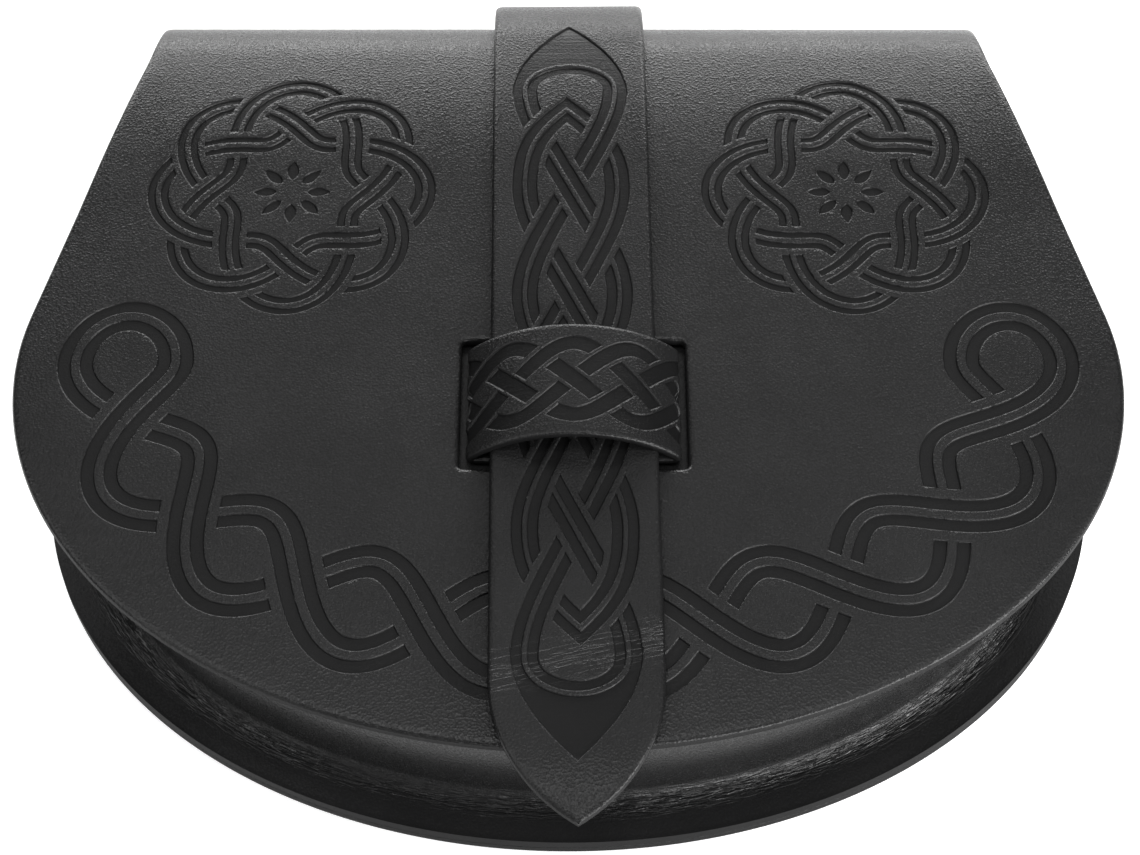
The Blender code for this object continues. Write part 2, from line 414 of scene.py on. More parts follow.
def offset_loop(loop: Sequence[Point], distance: float) -> list[Point]:
    """A closed line moved to its left, which is inwards where it runs against the clock.

    Args:
        loop: the line.
        distance: how far.

    Returns:
        The moved line, with as many points.
    """
    line = np.array(loop, float)
    ways, mitres = ways_and_mitres(line, OUTLINE_MITRE)
    moved = line + np.column_stack([-ways[:, 1], ways[:, 0]]) * (distance * mitres)[:, None]
    return [(float(u), float(v)) for u, v in moved]


class Knot:
    """Closed bands that pass over and under each other by turns."""

    # How far past a crossing the sides are compared, and how far its cover reaches, in half bands
    probe_reach: float = 0.4
    cover_reach: float = 3.4
    parallel: float = 1e-15

    def __init__(self, courses: list[Course], tool: BandTool, flip: bool = False) -> None:
        """Finds the crossings.

        Args:
            courses: the bands' centre lines.
            tool: the stamp that presses them.
            flip: turns every crossing over.
        """
        self.courses, self.tool, self.flip = courses, tool, flip
        self.crossings = list(self._crossings())

    def _segments(self) -> tuple[np.ndarray, np.ndarray, list[tuple[int, int]]]:
        """All short pieces of the lines: starts, directions, and each one's course and index.

        Returns:
            The three, in the same order.
        """
        starts = np.vstack([c.points for c in self.courses])
        ends = np.vstack([np.roll(c.points, -1, axis=0) for c in self.courses])
        owners = [(k, i) for k, c in enumerate(self.courses) for i in range(len(c))]
        return starts, ends - starts, owners

    def _crossings(self) -> Iterable[Crossing]:
        """Every crossing, with the strand on top chosen so that strands alternate.

        Returns:
            The crossings, one by one.
        """
        starts, ways, owners = self._segments()
        for a in range(len(starts)):
            rest = slice(a + 2, None)
            apart = starts[rest] - starts[a]
            cross = ways[a, 0] * ways[rest, 1] - ways[a, 1] * ways[rest, 0]
            cross = np.where(np.abs(cross) < self.parallel, self.parallel, cross)
            along = (apart[:, 0] * ways[rest, 1] - apart[:, 1] * ways[rest, 0]) / cross
            other = (apart[:, 0] * ways[a, 1] - apart[:, 1] * ways[a, 0]) / cross
            hits = np.nonzero((along >= 0) & (along < 1) & (other >= 0) & (other < 1))[0]
            for hit in hits:
                b = a + 2 + int(hit)
                course, first = owners[a]
                if owners[b][0] == course and (owners[b][1] + 1) % len(self.courses[course]) == first:
                    continue
                place = starts[a] + ways[a] * along[hit]
                left_turn = cross[hit] > 0
                forward = ways[a] / np.linalg.norm(ways[a]) + ways[b] / np.linalg.norm(ways[b])
                probe = place + forward / np.linalg.norm(forward) * self.tool.half * self.probe_reach
                a_over = (self._inside(probe, starts, ways) == left_turn) != self.flip
                mark_a = (owners[a][0], owners[a][1] + float(along[hit]))
                mark_b = (owners[b][0], owners[b][1] + float(other[hit]))
                yield Crossing(mark_a, mark_b) if a_over else Crossing(mark_b, mark_a)

    @staticmethod
    def _inside(probe: np.ndarray, starts: np.ndarray, ways: np.ndarray) -> bool:
        """Whether a ray from the probe meets the lines an odd number of times.

        Args:
            probe: the place.
            starts: where the short pieces start.
            ways: their directions.

        Returns:
            True if it does.
        """
        low, high = starts[:, 1], starts[:, 1] + ways[:, 1]
        spans = (low > probe[1]) != (high > probe[1])
        safe = np.where(spans, ways[:, 1], 1.0)
        at = starts[:, 0] + (probe[1] - low) / safe * ways[:, 0]
        return int(np.count_nonzero(spans & (at > probe[0]))) % 2 == 1

    def _corridor(self, crossing: Crossing) -> list[list[Point]]:
        """Outlines of the strand on top near one crossing, with its ground, one for each line of the wall.

        Args:
            crossing: the crossing.

        Returns:
            The outlines.
        """
        course = self.courses[crossing.over[0]]
        reach = round(self.cover_reach * self.tool.half / course.step)
        middle = round(crossing.over[1])
        found = []
        for line in WALL:
            half = self.tool.half + self.tool.gap - SHOULDER + line.inset
            span = range(middle - reach, middle + reach + 1)
            right = [course.beside(i, -half) for i in span]
            found.append(right + [course.beside(i, half) for i in span][::-1])
        return found

    def press(self) -> Pressing:
        """The outlines of all strips, broken where a strand passes under another.

        Returns:
            The knot's share of the flat layout.
        """
        made = Pressing(covers=[self._corridor(c) for c in self.crossings])
        for k, course in enumerate(self.courses):
            breaks = sorted((c.under[1], j) for j, c in enumerate(self.crossings) if c.under[0] == k)
            spans = [(0.0, float(len(course)), set())]
            if breaks:
                spans = []
                for (start, first), (end, last) in zip(breaks, breaks[1:] + breaks[:1]):
                    end += len(course) if end <= start else 0
                    middle = (start + end) // 2
                    spans += [(start, middle, {first}), (middle, end, {last})]
            for start, end, hidden in spans:
                made.hidden_by.append(hidden)
                run = len(made.hidden_by) - 1
                for i in range(math.floor(start), math.ceil(end)):
                    made.cells += [(cell, run, line) for cell, line in self._cells(course, i)]
        return made

    def _cells(self, course: Course, i: int) -> Iterable[tuple[list[Point], int]]:
        """The outlines between two points of a course, each with its line of the wall.

        Args:
            course: the band's centre line.
            i: the first of the two points.

        Returns:
            The outlines, one by one.
        """
        for low, high in self.tool.strips():
            rails = [low + line.inset for line in WALL] + [high - line.inset for line in WALL[::-1]]
            for k, (near, far) in enumerate(zip(rails, rails[1:])):
                cell = [course.beside(i, near), course.beside(i + 1, near)]
                cell += [course.beside(i + 1, far), course.beside(i, far)]
                yield cell, min(k, len(rails) - 2 - k)


# Leather cut flat and bent into place


class FlatLeather:
    """A piece of leather that is cut, pressed and rubbed down flat, and then bent."""

    def __init__(
        self,
        name: str,
        outline: list[Point],
        holes: list[list[Point]],
        lattice: list[Point],
        thickness: float,
        depth: float = PRESS_DEPTH,
    ) -> None:
        """Keeps what the piece is cut from.

        Args:
            name: the piece's name.
            outline: the cut edge, in order.
            holes: the edges of its windows.
            lattice: points inside, where the leather may bend.
            thickness: of the leather, whose cut edges are rubbed round.
            depth: how deep the bands are pressed.
        """
        self.name, self.outline, self.holes = name, outline, holes
        self.lattice, self.thickness, self.depth = lattice, thickness, depth
        self.bm = bmesh.new()
        self.pressed = self.bm.verts.layers.float.new("pressed")
        self.rim = self.bm.verts.layers.float.new("rim")

    def _plan(self, pressing: Pressing) -> "Plan":
        """Overlays all outlines and cuts the sheet into triangles along them.

        Args:
            pressing: the pressed outlines.

        Returns:
            The points and triangles, and what each is.
        """
        points: list[Vector] = []
        faces: list[list[int]] = []
        edges: list[tuple[int, int]] = []

        def lay(corners: Sequence[Point]) -> list[int]:
            """Adds points to the layout, in millimetres.

            Args:
                corners: the points, in metres.

            Returns:
                Their numbers.
            """
            start = len(points)
            points.extend(Vector((u / MM, v / MM)) for u, v in corners)
            return list(range(start, start + len(corners)))

        faces.append(lay(self.outline))
        faces.extend(lay(hole) for hole in self.holes)
        ring_of = dict.fromkeys(range(len(points)), 0)
        for loop, way in [(self.outline, 1)] + [(hole, -1) for hole in self.holes]:
            for k, line in enumerate(EDGE[1:], 1):
                ring = lay(offset_loop(loop, way * line.inset * self.thickness / 2))
                edges.extend(zip(ring, ring[1:] + ring[:1]))
                ring_of.update(dict.fromkeys(ring, k))
        cell_start, marks = len(faces), []
        for outline, run, line in pressing.cells:
            clean = [p for i, p in enumerate(outline) if math.dist(p, outline[i - 1]) > SAME_POINT]
            if len(clean) > 2 and signed_area(clean) > 0:
                faces.append(lay(clean))
                marks.append((run, line))
        cover_start = len(faces)
        for cover in pressing.covers:
            faces.extend(lay(outline) for outline in cover)
        lay(self.lattice)
        places, _, cut, sources, _, owners = delaunay_2d_cdt(points, edges, faces, 0, LAYOUT_SNAP)
        plan = Plan(places)
        for i, found in enumerate(sources):
            rings = [ring_of[k] for k in found if k in ring_of]
            if rings:
                plan.rings[i] = min(rings)
        for corners, inside in zip(cut, owners):
            owner = set(inside)
            if 0 not in owner or any(1 <= k < cell_start for k in owner):
                continue
            hiding = [divmod(k - cover_start, len(WALL)) for k in owner if k >= cover_start]
            cells = [marks[k - cell_start] for k in owner if cell_start <= k < cover_start]
            plan.triangles.append(list(corners))
            plan.lines.append(max((self._line(*cell, pressing, hiding) for cell in cells), default=-1))
        return plan

    @staticmethod
    def _line(run: int, line: int, pressing: Pressing, hiding: list[tuple[int, int]]) -> int:
        """The wall's line that a triangle of one cell lies at, or -1 where a cover hides the cell."""
        reached = [cover_line for cover, cover_line in hiding if cover in pressing.hidden_by[run]]
        return min([line] + [k - 1 for k in reached])

    def _sheet(self, pressing: Pressing, level: float, up: bool) -> list[bmesh.types.BMVert]:
        """Lays one side of the leather, pressed and with its cut edges rubbed down.

        Args:
            pressing: what is pressed into it.
            level: its height in the flat layout.
            up: whether it faces up.

        Returns:
            The corners along its cut edges.
        """
        plan = self._plan(pressing)
        lines = plan.corner_lines()
        used = {i for corners in plan.triangles for i in corners}
        way = 1 if up else -1
        verts, cut = {}, []
        for i in used:
            share = WALL[lines[i]].fall if lines[i] > 0 else 0.0
            rubbed = EDGE[plan.rings.get(i, -1)].fall
            fall = share * self.depth + rubbed * self.thickness / 2
            place = plan.places[i]
            v = self.bm.verts.new((place.x * MM, place.y * MM, level - way * fall))
            v[self.pressed] = share
            v[self.rim] = min(1.0, 2 * rubbed)
            verts[i] = v
            if rubbed == 1.0:
                cut.append(v)
        for corners in plan.triangles:
            a, b, c = (plan.places[i] for i in corners)
            ring = [verts[i] for i in corners]
            if ((b - a).cross(c - a) > 0) != up:
                ring.reverse()
            self.bm.faces.new(ring)
        return cut

    def make(self, pressing: Pressing, bend: Bend) -> bpy.types.Object:
        """Lays both sides, joins their edges and bends the piece.

        Args:
            pressing: what is pressed into the outer side.
            bend: gives the place of a point of the flat layout.

        Returns:
            The finished piece.
        """
        cut = self._sheet(pressing, 0.0, True) + self._sheet(Pressing(), -self.thickness, False)
        bmesh.ops.remove_doubles(self.bm, verts=cut, dist=SAME_CORNER)
        bmesh.ops.recalc_face_normals(self.bm, faces=self.bm.faces)
        for v in self.bm.verts:
            v.co = bend(v.co.x, v.co.y, v.co.z)
        self.bm.normal_update()
        return finish_mesh(self.name, self.bm)


@dataclass
class Plan:
    """A cut and marked flat layout: points, triangles, and which of them are what."""

    places: list[Vector]
    triangles: list[list[int]] = field(default_factory=list)
    lines: list[int] = field(default_factory=list)
    rings: dict[int, int] = field(default_factory=dict)

    def corner_lines(self) -> list[int]:
        """For each point the deepest line of the wall that its triangles reach.

        Returns:
            A number for each point, -1 where nothing is pressed.
        """
        found = [-1] * len(self.places)
        for corners, line in zip(self.triangles, self.lines):
            for i in corners:
                found[i] = max(found[i], line)
        return found


def finish_mesh(name: str, bm: bmesh.types.BMesh, crease_deg: float = 32) -> bpy.types.Object:
    """Makes an object of a finished mesh, smooth but for its creases.

    Args:
        name: the piece's name.
        bm: the mesh, which is freed.
        crease_deg: edges that turn more than this stay crisp.

    Returns:
        The new object, linked to the scene.
    """
    mesh = bpy.data.meshes.new(name)
    bm.to_mesh(mesh)
    bm.free()
    mesh.shade_smooth()
    mesh.set_sharp_from_angle(angle=math.radians(crease_deg))
    piece = bpy.data.objects.new(name, mesh)
    bpy.context.scene.collection.objects.link(piece)
    weighted = piece.modifiers.new("weighted_normals", "WEIGHTED_NORMAL")
    weighted.keep_sharp = True
    return piece


class Profile:
    """A path seen from the side, along which flat leather is bent."""

    def __init__(self, points: Sequence[Point]) -> None:
        """Measures the path.

        Args:
            points: close points along the outer face, whose outer side is to the left of the way along.
        """
        self.points = np.array(points, float)
        steps = np.diff(self.points, axis=0)
        lengths = np.hypot(steps[:, 0], steps[:, 1])
        self.along = np.concatenate([[0], np.cumsum(lengths)])
        ways = steps / lengths[:, None]
        ways = np.vstack([ways[:1], ways[:-1] + ways[1:], ways[-1:]])
        ways /= np.linalg.norm(ways, axis=1)[:, None]
        self.normals = np.column_stack([-ways[:, 1], ways[:, 0]])

    @property
    def length(self) -> float:
        """The whole path's length."""
        return float(self.along[-1])

    def at(self, v: float, h: float) -> Point:
        """The place of a point.

        Args:
            v: distance along the path.
            h: height above the outer face.

        Returns:
            The two coordinates in the plane of the path.
        """
        found = []
        for k in (0, 1):
            base = float(np.interp(v, self.along, self.points[:, k]))
            found.append(base + h * float(np.interp(v, self.along, self.normals[:, k])))
        return found[0], found[1]


def bezier(corners: Sequence[Point], count: int) -> list[Point]:
    """Points along a cubic curve, without its last one.

    Args:
        corners: the curve's four control points.
        count: how many points.

    Returns:
        The points.
    """
    found = []
    for i in range(count):
        t = i / count
        weights = ((1 - t) ** 3, 3 * t * (1 - t) ** 2, 3 * t * t * (1 - t), t**3)
        found.append(tuple(sum(w * c[k] for w, c in zip(weights, corners)) for k in (0, 1)))
    return found


def plait_courses(
    middle: float, bars: int, spacing: float, half: float, chevron: float, loop: float, step: float
) -> list[Course]:
    """The two centre lines of a closed four-strand plait.

    Args:
        middle: where its middle lies along v.
        bars: how many times strands cross on the middle line.
        spacing: from one of these crossings to the next.
        half: how far the strands swing to each side.
        chevron: how far the pointed inner turn reaches beyond the last bar.
        loop: how far the round outer turn reaches beyond the last bar.
        step: distance between points.

    Returns:
        The courses.
    """
    # How much the strands' swing is flattened, and in shares of half the width or of the spacing how far
    # the point lies off the middle, how steeply its sides lean and how long they stay upright
    flatness, apex_shift, apex_lean, shank = 0.04, 0.08, 0.68, 0.36
    top = middle + (bars - 1) / 2 * spacing
    bottom = top - (bars - 1) * spacing
    high = top + spacing

    def strand(side: int, start: float, end: float, lag: float = 0.0) -> list[Point]:
        """A strand that swings to and fro on its way from start to end.

        Args:
            side: which side it swings to first, 1 or -1.
            start: where it starts along v.
            end: where it ends along v.
            lag: how many spacings it runs behind.

        Returns:
            Its points, without the last.
        """
        found = []
        for i in range(STRAND_STEPS):
            v = start + (end - start) * i / STRAND_STEPS
            phase = math.pi / 2 * ((v - top) / spacing + lag)
            swing = math.sin(phase) - flatness * math.sin(3 * phase)
            found.append((side * half / (1 + flatness) * swing, v))
        return found

    def pointed(side: int, level: float, way: int) -> list[Point]:
        """The pointed inner turn at one end of the plait.

        Args:
            side: the side that it starts on, 1 or -1.
            level: where it starts along v.
            way: 1 at the plait's high end, -1 at its low end.

        Returns:
            Its points, without the last.
        """
        apex = (-apex_shift * half * way, level + way * chevron)
        lean = apex_lean * half
        rise = level + shank * spacing * way
        below = apex[1] - way * lean
        first = [(side * half, level), (side * half, rise), (apex[0] + side * lean, below), apex]
        second = [apex, (apex[0] - side * lean, below), (-side * half, rise), (-side * half, level)]
        return bezier(first, TURN_STEPS) + bezier(second, TURN_STEPS)

    def rounded(side: int, level: float, way: int) -> list[Point]:
        """The round outer turn at one end of the plait.

        Args:
            side: the side that it starts on, 1 or -1.
            level: where it starts along v.
            way: 1 at the plait's high end, -1 at its low end.

        Returns:
            Its points, without the last.
        """
        crest = (0.0, level + way * (loop - spacing))
        rise = level + way * (loop - spacing) * TURN_FULLNESS
        first = [(side * half, level), (side * half, rise), (side * half / 2, crest[1]), crest]
        second = [crest, (-side * half / 2, crest[1]), (-side * half, rise), (-side * half, level)]
        return bezier(first, TURN_STEPS) + bezier(second, TURN_STEPS)

    if bars % 2 == 0:
        end = round(math.sin(math.pi / 2 * (1 - bars)))
        one = strand(1, high, bottom)
        corner = len(one) + TURN_STEPS
        one += pointed(end, bottom, -1) + strand(-1, bottom, high) + rounded(-1, high, 1)
        two = [(-u, 2 * middle - v) for u, v in one]
        return [Course(one, [corner], step), Course(two, [corner], step)]
    low, end = bottom - spacing, round(math.sin(-math.pi / 2 * bars))
    one = strand(1, high, low) + rounded(end, low, -1) + strand(-1, low, high) + rounded(-1, high, 1)
    two = strand(1, top, bottom, 1.0)
    corners = [len(two) + TURN_STEPS]
    two += pointed(-end, bottom, -1) + strand(-1, bottom, top, 1.0)
    corners.append(len(two) + TURN_STEPS)
    two += pointed(-1, top, 1)
    return [Course(one, [], step), Course(two, corners, step)]


def rows_between(start: float, end: float, step: float) -> list[float]:
    """Evenly spaced numbers from start to end, both included, about a step apart."""
    count = max(1, round(abs(end - start) / step))
    return [start + (end - start) * i / count for i in range(count + 1)]


def strip_outline(half: float, ends: Point, across: list[float], rows: list[float]) -> list[Point]:
    """The edge of a straight strip, against the clock.

    Args:
        half: half the strip's width.
        ends: where it starts and ends along its length.
        across: places of the points along its ends.
        rows: places of the points along its sides.

    Returns:
        The outline.
    """
    outline = [(u, ends[0]) for u in across[:-1]] + [(half, v) for v in rows[:-1]]
    return outline + [(u, ends[1]) for u in across[:0:-1]] + [(-half, v) for v in rows[:0:-1]]


@dataclass
class Strap:
    """The closing strap: from its point over the flap, through the keeper, over the fold to the back."""

    point: float = 0.026
    overhang: float = 0.014
    tip_bend: float = 0.045
    bow: float = 0.0035
    tail: float = 0.045
    skew_deg: float = 0.5
    sizes: PouchSizes = SIZES
    tool: BandTool = BandTool(strip=0.0023, ridge=0.0008, gap=0.0008)
    plait_middle: float = 0.09185
    bars: int = 4
    bar_spacing: float = 0.0248
    plait_half: float = 0.0088
    chevron: float = 0.0195
    loop: float = 0.0317
    point_reach: float = 0.0813
    tip_steps: int = 30
    flat_steps: int = 60
    fold_steps: int = 140
    tail_steps: int = 10
    point_steps: int = 28
    row_gap: float = 0.0015
    column_gap: float = 0.0034
    column_shift: float = 0.0008
    column_reach: float = 0.0136
    edge_clearance: float = 0.0016
    stitch_inset: float = 0.0035
    stitch_height: float = 0.012

    def profile(self) -> Profile:
        """The strap's outer face from the side, from its point to its tail.

        Returns:
            The path.
        """
        s = self.sizes
        level = s.flap_level + s.seat_gap + s.strap_thick
        tip = -s.bottom_reach - self.overhang
        points = []
        for i in range(self.tip_steps):
            y = tip + self.overhang * i / self.tip_steps
            past = -s.bottom_reach - y
            points.append((y, level - self.tip_bend + math.sqrt(self.tip_bend**2 - past**2)))
        flat = s.fold_start + s.bottom_reach
        points += [(-s.bottom_reach + flat * i / self.flat_steps, level) for i in range(self.flat_steps)]
        fold = s.fold()
        for i in range(self.fold_steps + 1):
            v = fold.length * i / self.fold_steps
            back = fold.at(v, 1.0)[0] - fold.at(v, 0.0)[0]
            points.append(fold.at(v, s.seat_gap + s.strap_thick + self.bow * back**2))
        low = s.back_level - s.seat_gap - s.strap_thick
        end = s.side_reach - self.tail
        for i in range(1, self.tail_steps + 1):
            points.append((s.fold_centre + (end - s.fold_centre) * i / self.tail_steps, low))
        return Profile(points)

    def half_width(self, reach: float) -> float:
        """Half the strap's width at a distance from its tip.

        Args:
            reach: distance from the tip.

        Returns:
            The half width.
        """
        half = self.sizes.strap_width / 2
        if reach >= self.point:
            return half
        radius = (half**2 + self.point**2) / (2 * half)
        return max(0.0, half - radius + math.sqrt(radius**2 - (self.point - reach) ** 2))

    def plait(self) -> Pressing:
        """The four-strand plait with its two ends drawn to a point.

        Returns:
            The strap's share of the flat layout.
        """
        middle, half = self.plait_middle, self.plait_half
        lines = plait_courses(middle, self.bars, self.bar_spacing, half, self.chevron, self.loop, PLAIT_STEP)
        made = Knot(lines, self.tool).press()
        for side in (1, -1):
            made.add_shape(self._pointed_end(side))
        return made

    def _pointed_end(self, side: int) -> list[Point]:
        """The pressed point outside a closing loop.

        Args:
            side: 1 for the end near the fold, -1 for the end near the strap's point.

        Returns:
            The outline.
        """
        mid, ridge, base_drop = self.plait_middle, self.tool.ridge / 2, 0.002
        outer, inner = self.plait_half + self.tool.half, self.plait_half + ridge
        high = mid + (self.bars + 1) / 2 * self.bar_spacing
        crest = mid + (self.bars - 1) / 2 * self.bar_spacing + self.loop + ridge
        tip, base = mid + self.point_reach, high - base_drop
        shoulder, flank = (outer, high + 0.007), (0.006, tip - 0.0057)
        right = bezier([(outer, base), shoulder, flank, (0, tip)], TURN_STEPS)
        left = [(-u, v) for u, v in right[:0:-1]] + [(-outer, base)]
        rise = high + (crest - high) * TURN_FULLNESS
        under = bezier([(-inner, high), (-inner, rise), (-inner / 2, crest), (0, crest)], 20)
        under += [(0, crest)] + [(-u, v) for u, v in under[::-1]]
        shape = right + [(0, tip)] + left + [(-inner, base)] + under + [(inner, base)]
        return [(u, v) if side > 0 else (-u, 2 * mid - v) for u, v in shape]

    def build(self) -> bpy.types.Object:
        """Cuts, presses and bends the strap.

        Returns:
            The finished piece.
        """
        s, gap = self.sizes, self.row_gap
        profile = self.profile()
        edge = []
        for i in range(1, self.point_steps + 1):
            reach = self.point * (1 - math.cos(math.pi / 2 * i / self.point_steps))
            edge.append((self.half_width(reach), reach))
        end = profile.length
        edge += [(s.strap_width / 2, v) for v in rows_between(self.point + gap, end, gap)]
        outline = [(0.0, 0.0)] + edge + [(-u, v) for u, v in edge[::-1]]
        lattice = []
        for j, v in enumerate(rows_between(2 * gap, end - gap, gap)):
            reach = self.half_width(v) - self.edge_clearance
            first = -self.column_reach + self.column_shift * (j % 2)
            columns = rows_between(first, self.column_reach, self.column_gap)
            lattice += [(u, v) for u in columns if abs(u) < reach]
        skew = math.radians(self.skew_deg)
        cos, sin = math.cos(skew), math.sin(skew)

        def bend(u: float, v: float, h: float) -> Vector:
            """The place of a point of the flat strap, a little skew about the keeper's middle.

            Args:
                u: across.
                v: along, from the tip.
                h: height above the outer face.

            Returns:
                The place in the pouch's frame.
            """
            y, z = profile.at(v, h)
            y -= s.keeper_middle
            x, y = u * cos - y * sin, u * sin + y * cos
            return Vector((x + s.strap_offset, y + s.keeper_middle + s.origin_y, z))

        return FlatLeather("closing_strap", outline, [], lattice, s.strap_thick).make(self.plait(), bend)

    def stitches(self) -> "Stitching":
        """The stitches that hold the strap's tail to the back.

        Returns:
            The stitches, not yet laid.
        """
        s, near = self.sizes, self.sizes.side_reach - self.tail + self.stitch_inset
        reach, level = s.strap_width / 2 - self.stitch_inset, s.back_level - s.seat_gap - s.strap_thick
        box = stitch_box(s.strap_offset, reach, near, near + self.stitch_height)
        return Stitching("stitches_strap_tail", box, level)


@dataclass
class Keeper:
    """The arched loop that stands on the moulded front and comes up through the flap's window."""

    thick: float = 0.0016
    arch: float = 0.026
    crest: float = 0.0084
    sizes: PouchSizes = SIZES
    tool: BandTool = BandTool(strip=0.0032, ridge=0.0, gap=0.0005)
    bars: int = 5
    bar_spacing: float = 0.0116
    plait_half: float = 0.0076
    chevron: float = 0.0099
    loop: float = 0.0152
    press_depth: float = 0.0003
    arch_steps: int = 80
    corner_steps: int = 12
    half_seam: float = 0.00004
    row_gap: float = 0.0008
    edge_gap: float = 0.003
    column_gap: float = 0.004
    edge_clearance: float = 0.0012

    def profile(self) -> Profile:
        """The keeper's outer face, clockwise from the middle of its foot.

        Returns:
            The path.
        """
        s = self.sizes
        foot = s.face_level + s.seat_gap
        level = s.flap_level + self.crest - self.arch
        start = math.asin((foot + self.thick - level) / (self.arch - self.thick))
        side = (self.arch - self.thick) * math.cos(start)
        arch = []
        for i in range(self.arch_steps + 1):
            angle = math.pi - start - (math.pi - 2 * start) * i / self.arch_steps
            arch.append((self.arch * math.cos(angle), level + self.arch * math.sin(angle)))
        corner, steps = [], self.corner_steps
        for i in range(steps):
            angle = -math.pi / 2 - (math.pi / 2 + start) * i / steps
            corner.append((-side + self.thick * math.cos(angle), foot + self.thick * (1 + math.sin(angle))))
        flat = [(-side * i / steps, foot) for i in range(steps)]
        left = flat + corner
        return Profile(left + arch + [(-x, z) for x, z in left[::-1]])

    def plait(self) -> Pressing:
        """The four-strand plait of single strips over the arch.

        Returns:
            The keeper's share of the flat layout.
        """
        middle, half = self.profile().length / 2, self.plait_half
        lines = plait_courses(middle, self.bars, self.bar_spacing, half, self.chevron, self.loop, PLAIT_STEP)
        return Knot(lines, self.tool, flip=True).press()

    def build(self) -> bpy.types.Object:
        """Cuts, presses and bends the keeper.

        Returns:
            The finished piece.
        """
        s = self.sizes
        profile = self.profile()
        half, start, end = s.keeper_length / 2, self.half_seam, profile.length - self.half_seam
        rows = rows_between(start, end, self.row_gap)
        outline = strip_outline(half, (start, end), rows_between(-half, half, self.edge_gap), rows)
        columns = rows_between(-half + self.edge_clearance, half - self.edge_clearance, self.column_gap)
        lattice = [(u, v) for v in rows[2:-2] for u in columns]

        def bend(u: float, v: float, h: float) -> Vector:
            """The place of a point of the flat keeper, which runs across the pouch."""
            x, z = profile.at(v, h)
            return Vector((x + s.strap_offset, s.keeper_middle - u + s.origin_y, z))

        piece = FlatLeather("strap_keeper", outline, [], lattice, self.thick, depth=self.press_depth)
        return piece.make(self.plait(), bend)


